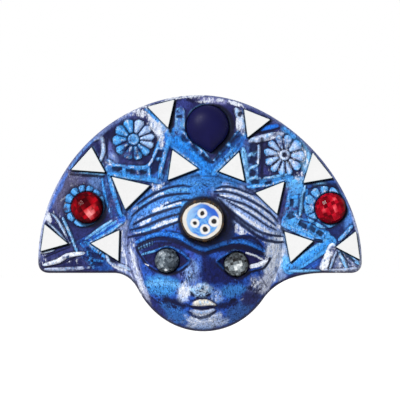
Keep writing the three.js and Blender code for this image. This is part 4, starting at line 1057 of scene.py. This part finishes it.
def hollow_rings():
    """Egg-shaped cutter: circles of sine of the latitude, at heights of its cosine, stretched to size."""
    latitude = np.radians(np.linspace(180 - HOLLOW_POLE, HOLLOW_POLE, HOLLOW_RINGS))[:, None]
    turn = once_round(HOLLOW_STEPS)[None]
    unit = [np.sin(latitude) * np.cos(turn), np.sin(latitude) * np.sin(turn), np.cos(latitude)]
    return np.stack(np.broadcast_arrays(*unit), -1) * HOLLOW_SIZE + HOLLOW_MIDDLE


def nail_rings():
    """Slanted round cutter: circles carried along a line that rises into the clay."""
    turn = once_round(NAIL_STEPS)[None]
    reach = np.array([-NAIL_DEPTH, NAIL_DEPTH - NAIL_TAPER, NAIL_DEPTH])[:, None]
    radius = NAIL_HOLE / 2 * np.array([1, 1, NAIL_END])[:, None]
    across, up = radius * np.cos(turn), radius * np.sin(turn)
    out = reach * np.cos(NAIL_TILT) - up * np.sin(NAIL_TILT)
    rise = reach * np.sin(NAIL_TILT) + up * np.cos(NAIL_TILT)
    return np.stack(np.broadcast_arrays(across + HEAD[0], rise + NAIL_HEIGHT, out), -1)


for name, rings in (("hollow_cutter", hollow_rings()), ("nail_cutter", nail_rings())):
    cutter = new_piece(name, *ring_stack(rings))
    paint_points(cutter, RAW_CLAY)
    paint_points(cutter, 0.0, "brush_shares")
    cut = clay.modifiers.new(name, "BOOLEAN")
    cut.object = cutter
    cut.operation = "DIFFERENCE"
    cut.solver = "MANIFOLD"
    bpy.context.view_layer.update()
    finished = bpy.data.meshes.new_from_object(clay.evaluated_get(bpy.context.evaluated_depsgraph_get()))
    clay.modifiers.clear()
    clay.data = finished
    bpy.data.objects.remove(cutter)
clay.data.name = "clay_plaque"
clay.data.set_sharp_from_angle(angle=np.radians(CLAY_SHARP))

# No paint reached the back
BACK_REACH = 0.0003  # m out from the back's plane
flat = np.empty(len(clay.data.vertices) * 3)
clay.data.vertices.foreach_get("co", flat)
on_back = flat[1::3] > -BACK_REACH
for name, bare in (("paint", RAW_CLAY), ("brush_shares", 0.0)):
    attribute = clay.data.color_attributes[name]
    values = np.empty((len(clay.data.vertices), 4))
    attribute.data.foreach_get("color", values.ravel())
    values[on_back, :3] = bare
    attribute.data.foreach_set("color", values.ravel())


def fill(tree, node, sockets):
    """Gives each socket of a shader node its value, or a link from another node's output."""
    for socket, value in sockets.items():
        if isinstance(value, bpy.types.NodeSocket):
            tree.links.new(value, node.inputs[socket])
        else:
            node.inputs[socket].default_value = value
    return node


def new_material(name, sockets):
    """A material, its node tree, and its Principled shader with the sockets filled."""
    material = bpy.data.materials.new(name)
    material.use_nodes = True
    tree = material.node_tree
    return material, tree, fill(tree, tree.nodes["Principled BSDF"], sockets)


def grain(tree, scale, detail=4.0, roughness=0.6, stretch=(1, 1, 1), turn=0.0):
    """Noise in the piece's own coordinates, with features of about one part in scale of a metre."""
    place = tree.nodes.new("ShaderNodeTexCoord").outputs["Object"]
    mapping = tree.nodes.new("ShaderNodeMapping")
    fill(tree, mapping, {"Vector": place, "Scale": stretch, "Rotation": (0, np.radians(turn), 0)})
    noise = tree.nodes.new("ShaderNodeTexNoise")
    place = mapping.outputs["Vector"]
    fill(tree, noise, {"Vector": place, "Scale": scale, "Detail": detail, "Roughness": roughness})
    return noise.outputs["Fac"]


def ranged(tree, value, low, high):
    """Stretches the middle of a noise to a range of values."""
    node = tree.nodes.new("ShaderNodeMapRange")
    fill(tree, node, {"Value": value, "From Min": 0.3, "From Max": 0.7, "To Min": low, "To Max": high})
    return node.outputs["Result"]


def combined(tree, operation, first, second):
    """Sum, product or maximum of two outputs, or of an output and a number."""
    node = tree.nodes.new("ShaderNodeMath")
    node.operation = operation
    return fill(tree, node, {0: first, 1: second}).outputs[0]


def bumped(tree, shader, value, strength, distance):
    """Shallow unevenness of the surface from a noise."""
    bump = tree.nodes.new("ShaderNodeBump")
    fill(tree, bump, {"Height": value, "Strength": strength, "Distance": distance})
    fill(tree, shader, {"Normal": bump.outputs["Normal"]})


def shaded(tree, shader, source, amount):
    """Base colour from a colour output, made darker and lighter by an amount."""
    tone = tree.nodes.new("ShaderNodeMix")
    tone.data_type = "RGBA"
    tone.blend_type = "MULTIPLY"
    fill(tree, tone, {0: 1.0, 6: source, 7: amount})
    fill(tree, shader, {"Base Color": tone.outputs[2]})


def toned(tree, shader, noise, dark, light):
    """Base colour that goes from dark to light with a noise."""
    ramp = tree.nodes.new("ShaderNodeValToRGB")
    ramp.color_ramp.elements[0].color = (*dark, 1)
    ramp.color_ramp.elements[1].color = (*light, 1)
    fill(tree, ramp, {"Fac": noise})
    fill(tree, shader, {"Base Color": ramp.outputs["Color"]})


def roughened(tree, shader, scale, low, high):
    """Roughness that wanders between two values with a noise."""
    fill(tree, shader, {"Roughness": ranged(tree, grain(tree, scale), low, high)})


def paint_output(tree, name="paint"):
    """The colour that was put on the points."""
    node = tree.nodes.new("ShaderNodeAttribute")
    node.attribute_name = name
    return node.outputs["Color"]


def broken_coat(tree, under, share, noise, hue, soft):
    """Colour laid over another only where a noise, from 0 to 1, comes above 1 less the share."""
    above = combined(tree, "ADD", ranged(tree, noise, -1, 0), share)
    crisp = tree.nodes.new("ShaderNodeMapRange")
    crisp.interpolation_type = "SMOOTHSTEP"
    fill(tree, crisp, {"Value": above, "From Min": -0.08, "From Max": soft})
    coat = tree.nodes.new("ShaderNodeMix")
    coat.data_type = "RGBA"
    return fill(tree, coat, {0: crisp.outputs[0], 6: under, 7: (*hue, 1)}).outputs[2]


painted, tree, shader = new_material("painted_clay", {"Specular IOR Level": 0.12})
fine = grain(tree, 1100, 5, 0.7)
split = tree.nodes.new("ShaderNodeSeparateColor")
fill(tree, split, {0: paint_output(tree, "brush_shares")})
coats = [  # share, noise that breaks the coat up, colour, softness of its edges
    (split.outputs["Blue"], grain(tree, 700, 6, 0.75, (1, 1, 0.4), 35), colour(98, 168, 226), 0.4),
    (split.outputs["Green"], grain(tree, 1000, 6, 0.78, (1, 1, 0.45), -12), colour(13, 15, 54), 0.2),
    (split.outputs["Red"], grain(tree, 760, 6, 0.78, (1, 1, 0.4)), colour(212, 218, 232), 0.42),
]
layered = paint_output(tree)
for coat in coats:
    layered = broken_coat(tree, layered, *coat)
broad = ranged(tree, grain(tree, 520, 7, 0.8, (1, 1, 0.5), 20), 0.6, 1.38)
uneven = combined(tree, "MULTIPLY", broad, ranged(tree, fine, 0.56, 1.44))
shaded(tree, shader, layered, uneven)
roughened(tree, shader, 260, 0.45, 0.72)
bumped(tree, shader, fine, 0.35, 0.0003)
clay.data.materials.clear()
clay.data.materials.append(painted)
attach(clay, "root")
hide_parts("ceramic_body")


# Mirror tiles: twelve triangles cut by hand from thin mirror glass, silvered behind, with ground edges.
# Each is glued into its seat in the crown.

TILE_GROUND = 0.45
TILE_CORNER = 0.7
CORNER_POINTS = 5
TILE_EDGE = [(1.0, TILE_GROUND), (0.985, 0.15), (0.95, 0.0)]  # share of the size, depth under the front
silver, tree, shader = new_material("mirror_glass", {"Metallic": 1.0})
silver_tone = ranged(tree, grain(tree, 90), 0.9, 0.94)
shaded(tree, shader, silver_tone, ranged(tree, grain(tree, 700), 0.97, 1.0))
roughened(tree, shader, 160, 0.02, 0.07)
ground_glass, tree, shader = new_material("ground_glass_edge", {"Specular IOR Level": 0.4})
toned(tree, shader, grain(tree, 1200), (0.34, 0.42, 0.43), (0.66, 0.73, 0.74))
roughened(tree, shader, 2200, 0.3, 0.5)


def tile_rings(name):
    """Triangle with its corners taken off in short curves, drawn in to its middle over the ground edge."""
    points = node_points(name)
    corners = np.unique(points[:, :2].round(3), axis=0)
    middle = corners.mean(0)
    corners = corners[np.argsort(np.arctan2(*(corners - middle).T[::-1]))]
    t = np.linspace(0, 1, CORNER_POINTS)[:, None]
    loop = []
    for before, corner, after in zip(np.roll(corners, 1, 0), corners, np.roll(corners, -1, 0)):
        a = corner + (before - corner) / np.hypot(*(before - corner)) * TILE_CORNER
        b = corner + (after - corner) / np.hypot(*(after - corner)) * TILE_CORNER
        loop.append((1 - t) ** 2 * a + 2 * t * (1 - t) * corner + t**2 * b)
    loop = np.concatenate(loop)
    low, high = points[:, 2].min(), points[:, 2].max()
    profile = [(1.0, low), *((share, high - depth) for share, depth in TILE_EDGE)]
    return [
        np.column_stack([middle + (loop - middle) * share, np.full(len(loop), level)])
        for share, level in profile
    ]


for name in TILES:
    tile = new_piece(name + "_glass", *ring_stack(tile_rings(name)), sharp=8)
    tile.data.materials.append(silver)
    tile.data.materials.append(ground_glass)
    finish = np.ones(len(tile.data.polygons), int)
    finish[-1] = 0  # the front is silvered, and all other faces are ground glass
    tile.data.polygons.foreach_set("material_index", finish)
    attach(tile, "root")
    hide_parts(name)


# Red and grey stones: flat-backed pressed glass, cut in a net of flats and backed with foil. Bright flats,
# glints and a darker lower right rim are painted light and shade on them. They are glued into round seats.

RED_NET = (-1, -0.86, -0.64, -0.4, -0.14, 0.14, 0.4, 0.64, 0.86, 1)
EYE_NET = (-1, -0.9, -0.7, -0.48, -0.24, 0, 0.24, 0.48, 0.7, 0.9, 1)
# Each stone: lines of the net across and up, turn, radius share, weight of the checks of painted light, lit
# spots of painted highlight as place, strength and width, seed, and colours from dark to bright
STONE_CUTS = {
    "red_gem_left": (
        (-1, -0.86, -0.6, -0.3, 0.02, 0.34, 0.64, 0.86, 1),
        (-1, -0.86, -0.6, -0.34, -0.04, 0.3, 0.6, 0.86, 1),
        35, 1.0, 0.6,
        [(0.24, -0.32, 1.4, 0.14), (0.24, -0.5, 0.8, 0.03), (0.5, 0.38, 0.9, 0.03), (-0.2, 0.3, -0.5, 0.1),
         (-0.8, 0.1, 0.5, 0.04)],
        3,
        [(50, 0, 6), (108, 2, 12), (206, 10, 30), (255, 160, 160)],
    ),
    "red_gem_right": (
        RED_NET, RED_NET, 24, 0.97, 0.8,
        [(-0.5, -0.1, 1.3, 0.03), (0.3, -0.1, 0.8, 0.1), (0.15, 0.62, 0.9, 0.04), (-0.35, 0.5, -0.5, 0.08)],
        5,
        [(84, 0, 10), (150, 4, 24), (218, 18, 44), (255, 130, 140)],
    ),
    "eye_stone_left": (
        EYE_NET, EYE_NET, 35, 1.0, 1.0,
        [(-0.33, 0.5, 1.3, 0.05), (-0.08, -0.75, 1.6, 0.02), (-0.3, -0.2, 0.4, 0.2)],
        8,
        [(24, 28, 34), (78, 88, 98), (142, 154, 164), (242, 246, 248)],
    ),
    "eye_stone_right": (
        EYE_NET, EYE_NET, 12, 1.0, 1.0,
        [(0.05, -0.3, 1.0, 0.16), (0.4, 0.0, 0.5, 0.1), (0, 0.65, -0.5, 0.2)],
        21,
        [(30, 28, 28), (84, 90, 94), (152, 162, 168), (246, 250, 250)],
    ),
}
STONE_GIRDLE = 0.2


def stone_net(across, upright, turn, radius, bottom, top, middle):
    """Square net bent on to a round dome: each of its cells is one flat, and its border is the girdle."""
    u, w = np.meshgrid(across, upright)
    p, q = u * np.sqrt(1 - w**2 / 2), w * np.sqrt(1 - u**2 / 2)
    c, s = np.cos(np.radians(turn)), np.sin(np.radians(turn))
    girdle = bottom + STONE_GIRDLE * (top - bottom)
    level = girdle + (top - girdle) * np.clip(1 - p**2 - q**2, 0, 1) ** 0.6
    net = np.stack([middle[0] + radius * (p * c - q * s), middle[1] + radius * (p * s + q * c), level], -1)
    n = len(across)
    number = np.arange(n * n).reshape(n, n)
    girdle_points = border(number)
    base = n * n + np.arange(len(girdle_points))
    ring = net.reshape(-1, 3)[girdle_points].copy()
    ring[:, 2] = bottom
    flats = np.concatenate([grid_faces(n - 1, n - 1), ring_faces(base, girdle_points)])
    return np.concatenate([net.reshape(-1, 3), ring]), flats.tolist() + [base[::-1].tolist()]


def painted_glint_colours(points, faces, middle, radius, checks, lit, seed, ramp):
    """Painted light on each corner of each flat: chance and the nearness of the lit spots make it bright as
    painted glints, and the rim is darker to the lower right as painted shade.
    """
    chance = np.random.default_rng(seed)
    levels = np.array([colour(*c) for c in ramp])
    sizes = np.array([len(f) for f in faces])
    heart = np.array([points[f, :2].mean(0) for f in faces])
    place = (heart - middle[:2]) / radius
    glow = 0.05 + checks * chance.random(len(faces))
    for across, up, strength, width in lit:
        glow = glow + 0.7 * strength * np.exp(-((place - (across, up)) ** 2).sum(1) / width)
    # painted shade on the rim to the lower right
    glow = glow - 0.6 * step(0.7, 1.0, np.hypot(*place.T)) * step(-0.4, 0.5, place[:, 0] - place[:, 1])
    at = (points[np.concatenate(faces), :2] - middle[:2]) / radius
    near = sum(
        strength * np.exp(-((at - (across, up)) ** 2).sum(1) / width) for across, up, strength, width in lit
    )
    corner = np.repeat(glow, sizes) + 0.5 * near + 0.8 * (chance.random(sizes.sum()) - 0.5)
    along_ramp = np.clip(corner, 0, 2) * 1.5
    return np.stack([np.interp(along_ramp, [0, 1, 2, 3], levels[:, k]) for k in range(3)], -1)


cut_glass, tree, shader = new_material("cut_glass", {"Specular IOR Level": 0.035})
shaded(tree, shader, paint_output(tree), ranged(tree, grain(tree, 500), 0.85, 1.1))
roughened(tree, shader, 400, 0.03, 0.1)
for name, (across, upright, turn, share, checks, lit, seed, ramp) in STONE_CUTS.items():
    seat = node_points(name)
    middle = (seat.max(0) + seat.min(0)) / 2
    radius = np.ptp(seat[:, 0]) / 2 * share
    bottom, top = seat[:, 2].min(), seat[:, 2].max()
    net, flats = stone_net(np.array(across), np.array(upright), turn, radius, bottom, top, middle)
    stone = new_piece(name + "_glass", to_world(*net.T), flats, sharp=1)
    tints = np.ones((sum(len(f) for f in flats), 4))
    tints[:, :3] = painted_glint_colours(net, flats, middle, radius, checks, lit, seed, ramp)
    glint_paint = stone.data.color_attributes.new("paint", "FLOAT_COLOR", "CORNER")
    glint_paint.data.foreach_set("color", tints.ravel())
    stone.data.materials.append(cut_glass)
    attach(stone, "root")
    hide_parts(name)


# Blue drop: an opaque navy glass cabochon in the shape of a drop, with a satin surface and a flat back.
# It is glued point down over the forehead.

DROP_WALL = 1.5
DROP_FOOT = (0.985, 0.4)  # share of the outline at the back, height of the slope from there
DROP_CURVE = (2.3, 0.62)  # powers that make the dome full
DROP_STEPS = 128
DROP_RINGS = 28
DROP_SPACING = 0.9  # power that draws the rings together at the rim
DROP_LAST = 0.01  # share of the outline at the top
drop_low, drop_high = drop_points[:, 2].min(), drop_points[:, 2].max()


def drop_rings():
    """Outline carried inwards and up: the height falls as a power of the share of the way to the rim."""
    heading = once_round(DROP_STEPS)
    reach = drop_reach(heading)
    shares = np.cos(np.linspace(0, np.pi / 2, DROP_RINGS)) ** DROP_SPACING
    shares[-1] = DROP_LAST
    rise = (1 - shares ** DROP_CURVE[0]) ** DROP_CURVE[1]
    level = drop_low + DROP_WALL + (drop_high - drop_low - DROP_WALL) * rise
    shares = np.append([DROP_FOOT[0], 1.0], shares)
    level = np.append([drop_low, drop_low + DROP_FOOT[1]], level)
    out = shares[:, None] * reach
    across, up = drop_middle[0] + out * np.cos(heading), drop_middle[1] + out * np.sin(heading)
    return np.stack(np.broadcast_arrays(across, up, level[:, None]), -1)


drop = new_piece("navy_drop", *ring_stack(drop_rings()), sharp=50)
satin, tree, shader = new_material("navy_glass", {"Specular IOR Level": 0.1})
toned(tree, shader, grain(tree, 60, 3), colour(6, 5, 46), colour(20, 19, 74))
roughened(tree, shader, 900, 0.38, 0.5)
bumped(tree, shader, grain(tree, 1800), 0.08, 0.0002)
drop.data.materials.append(satin)
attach(drop, "root")
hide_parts("blue_drop")


# Forehead disc: a small hand-cut disc of white clay with four eyes painted in blue under a clear glaze.
# Its edge is stained dark brown, and it leans back on the forehead in a bed of glue.

disc_box = node_points("forehead_disc")
disc_heart = (disc_box.max(0) + disc_box.min(0)) / 2
DISC_THICK = 4.4
DISC_RIM = 1.2
DISC_EDGE = [(1, 0), (1, 0.5), (0.985, 0.74)]  # share of the radius, share of the thickness
DISC_SHOULDER = (0.9, 0.96)  # the same shares of the thickness where the rim meets the face
SHOULDER_WIDTH = 0.02  # share of the radius
RIM_WAVES = [(0.012, 3, 1), (0.008, 7, 2)]  # share of the radius, waves round the rim, where they start
STAINED_RINGS = 5
DISC_STEPS = 160
FACE_RINGS = 44
FACE_LAST = 0.01  # share of the face's radius at the middle
EYES = [  # place, radius of the white and of the pupil in squares
    ((202.3, 213.2), 4.8, 2.3),
    ((213.8, 221.2), 5.5, 2.7),
    ((205, 229), 5.0, 2.7),
    ((194.9, 222.8), 4.5, 2.0),
]
IRIS = ((202.4, 219.9), 15.9)
CREAM_FACE = ((202.2, 221.2), 20.8, 18.9)  # middle, half-width and half-height in squares


def disc_rings():
    """Flat round profile turned about the disc's axis, a little uneven round the rim, then leaned back."""
    turn = once_round(DISC_STEPS)
    uneven = np.ones(DISC_STEPS)
    for size, waves, start in RIM_WAVES:
        uneven -= size * (1 + np.sin(waves * turn + start))
    face = (disc_radius - DISC_RIM) / disc_radius
    edge_shares, edge_levels = np.array(DISC_EDGE).T
    face_shares = face * np.linspace(1, FACE_LAST, FACE_RINGS)
    shares = np.concatenate([edge_shares, [face + SHOULDER_WIDTH], face_shares])
    level = np.concatenate([edge_levels, DISC_SHOULDER, np.ones(FACE_RINGS - 1)])
    level = level * DISC_THICK - DISC_THICK / 2
    out = shares[:, None] * disc_radius * uneven
    across, up = out * np.cos(turn), out * np.sin(turn)
    level = np.broadcast_to(level[:, None], out.shape)
    c, s = np.cos(DISC_TILT), np.sin(DISC_TILT)
    rise = disc_heart[1] + up * c + level * s
    front = disc_heart[2] - up * s + level * c
    return np.stack([disc_heart[0] + across, rise, front], -1)


def disc_paint(rings):
    """Colour by place on the face: cream, a blue round in brush turns, white eyes and near-black pupils."""
    px, py = rings[..., 0], rings[..., 1]

    def reach(place):
        """Distance in squares from a place, and the bearing from it."""
        cx, cy = spots(place)[0]
        return np.hypot(px - cx, py - cy) / SQUARE, np.arctan2(py - cy, px - cx)

    def lay(under, where, hue):
        """Colour mixed into the one under it, as far as the mask says."""
        return under + (hue - under) * where[..., None]

    far, bearing = reach(IRIS[0])
    ripple = mottle(far / 1.3 + 3, bearing * 3 + 50)
    result = np.ones(px.shape + (3,)) * colour(220, 215, 206)
    result = result * (0.9 + 0.12 * mottle(px / 2 + 30, py / 2 + 80))[..., None]
    blue = lay(np.ones_like(result) * colour(100, 162, 222), step(0.35, 0.8, ripple), colour(50, 112, 204))
    blue = lay(blue, step(0.2, 1.0, np.cos(bearing - 0.7)) * step(4, 13, far), colour(34, 88, 192))
    blue = lay(blue, step(0.3, 1.0, np.cos(bearing - 2.9)) * step(5, 14, far) * 0.7, colour(160, 196, 230))
    result = lay(result, step(IRIS[1] + 0.8, IRIS[1] - 0.8, far + 1.6 * (ripple - 0.5)), blue)
    for place, white, pupil in EYES:
        far, bearing = reach(place)
        wobble = 0.8 * (mottle(bearing * 1.5 + place[0], far / 3) - 0.5)
        result = lay(result, step(white + 0.5, white - 0.5, far + wobble), colour(222, 221, 220))
        result = lay(result, step(pupil + 0.45, pupil - 0.45, far + wobble), colour(16, 13, 14))
    (cx, cy), half_width, half_height = spots(CREAM_FACE[0])[0], *CREAM_FACE[1:]
    round_face = np.hypot((px - cx) / (half_width * SQUARE), (py - cy) / (half_height * SQUARE))
    stain = (np.arange(len(rings))[:, None] < STAINED_RINGS) | (round_face > 0.985)
    rust = step(0.55, 0.8, mottle(px / 1.2 + 7, py / 1.2))
    brown = lay(np.ones_like(result) * colour(26, 18, 12), rust, colour(84, 58, 24))
    return lay(result, np.broadcast_to(stain, px.shape) * 1.0, brown)


rings = disc_rings()
disc = new_piece("eye_disc", *ring_stack(rings), sharp=30)
paint_points(disc, disc_paint(rings).reshape(-1, 3))
glazed, tree, shader = new_material("painted_glaze", {"Specular IOR Level": 0.35})
shaded(tree, shader, paint_output(tree), ranged(tree, grain(tree, 1200), 0.94, 1.04))
roughened(tree, shader, 300, 0.12, 0.3)
bumped(tree, shader, grain(tree, 350, 2), 0.12, 0.0004)
disc.data.materials.append(glazed)
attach(disc, "root")
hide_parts("forehead_disc")


# Glue beds: clear adhesive gone slightly yellow, spread under each tile and stone before it was pressed
# home. They stay as the solids give them.

glue, tree, shader = new_material("glue", {"Specular IOR Level": 0.3})
toned(tree, shader, grain(tree, 700), colour(150, 138, 108), colour(196, 186, 158))
roughened(tree, shader, 400, 0.25, 0.5)
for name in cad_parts:
    if name.startswith("glue_"):
        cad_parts[name].data.materials.clear()
        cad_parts[name].data.materials.append(glue)


# Stage: a pale floor well under the plaque and white all round, so that the mirrors and glass show white.
# A soft key light comes from the upper left, and a weak one lights the back.

FLOOR = -0.2  # m, well under the chin
FLOOR_HALF = 4  # m
FLOOR_GLOW = 1.6
GLOW_SHARE = 0.5  # the floor keeps the rest of its own shade and shadow
WORLD_LIGHT = 0.32
KEY_LIGHT = 2.9
KEY_HEADING = (0.55, 0.85, -0.55)  # to the right, on to the front and down
KEY_SPREAD = np.radians(14)
BACK_LIGHT = 9.0  # W
BACK_PLACE = (0.5, 1.1, 0.6)  # m
BACK_HEADING = (-0.5, -1.1, -0.63)
BACK_SIZE = 0.8  # m
WHITE_LIGHT = (1, 1, 1, 1)
floor_mesh = bpy.data.meshes.new("floor")
floor_corners = [(FLOOR_HALF * a, FLOOR_HALF * b, FLOOR) for a, b in ((-1, -1), (1, -1), (1, 1), (-1, 1))]
floor_mesh.from_pydata(floor_corners, [], [(0, 1, 2, 3)])
floor = bpy.data.objects.new("floor", floor_mesh)
bpy.context.collection.objects.link(floor)


def seen_ray(tree):
    """1 for rays that show the background to the eye, straight or by way of mirror and glass, else 0."""
    path = tree.nodes.new("ShaderNodeLightPath").outputs
    seen = combined(tree, "MAXIMUM", path["Is Camera Ray"], path["Is Glossy Ray"])
    return combined(tree, "MAXIMUM", seen, path["Is Transmission Ray"])


def seen_mix(tree, share, plain, bright, output):
    """Sends a plain shader to an output, and as much of a bright one as the share of seen rays says."""
    mixed = tree.nodes.new("ShaderNodeMixShader")
    fill(tree, mixed, {0: share, 1: plain.outputs[0], 2: bright.outputs[0]})
    fill(tree, tree.nodes[output], {"Surface": mixed.outputs[0]})


floor_paint, tree, shader = new_material("pale_floor", {"Base Color": (0.9, 0.9, 0.9, 1), "Roughness": 0.9})
glow = fill(tree, tree.nodes.new("ShaderNodeEmission"), {"Strength": FLOOR_GLOW})
glowing = combined(tree, "MULTIPLY", seen_ray(tree), GLOW_SHARE)
seen_mix(tree, glowing, shader, glow, "Material Output")
floor_mesh.materials.append(floor_paint)

world = bpy.data.worlds.new("white_studio")
bpy.context.scene.world = world
world.use_nodes = True
tree = world.node_tree
plain = fill(tree, tree.nodes["Background"], {"Color": WHITE_LIGHT, "Strength": WORLD_LIGHT})
white = fill(tree, tree.nodes.new("ShaderNodeBackground"), {"Color": WHITE_LIGHT})
seen_mix(tree, seen_ray(tree), plain, white, "World Output")


def new_light(name, kind, energy, heading):
    """Light of a kind and strength that shines along a heading."""
    light = bpy.data.objects.new(name, bpy.data.lights.new(name, kind))
    light.data.energy = energy
    light.rotation_euler = Vector(heading).to_track_quat("-Z", "Y").to_euler()
    bpy.context.collection.objects.link(light)
    return light


key = new_light("key_light", "SUN", KEY_LIGHT, KEY_HEADING)
key.data.angle = KEY_SPREAD
back = new_light("back_fill", "AREA", BACK_LIGHT, BACK_HEADING)
back.data.size = BACK_SIZE
back.location = BACK_PLACE

FRAME_SQUARES = 400
CAMERA_REACH = 1.6  # m in front of the slab
SENSOR = 36  # width of the film
camera = bpy.data.objects.new("camera", bpy.data.cameras.new("camera"))
camera.data.sensor_width = SENSOR
camera.data.lens = SENSOR * CAMERA_REACH / (FRAME_SQUARES * SQUARE / 1000)
frame_middle = to_world(*spots((FRAME_SQUARES / 2, FRAME_SQUARES / 2))[0], SLAB)
camera.location = (frame_middle[0], frame_middle[1] - CAMERA_REACH, frame_middle[2])
camera.rotation_euler = (np.pi / 2, 0, 0)
bpy.context.collection.objects.link(camera)
bpy.context.scene.camera = camera
bpy.context.scene.view_settings.view_transform = "Standard"
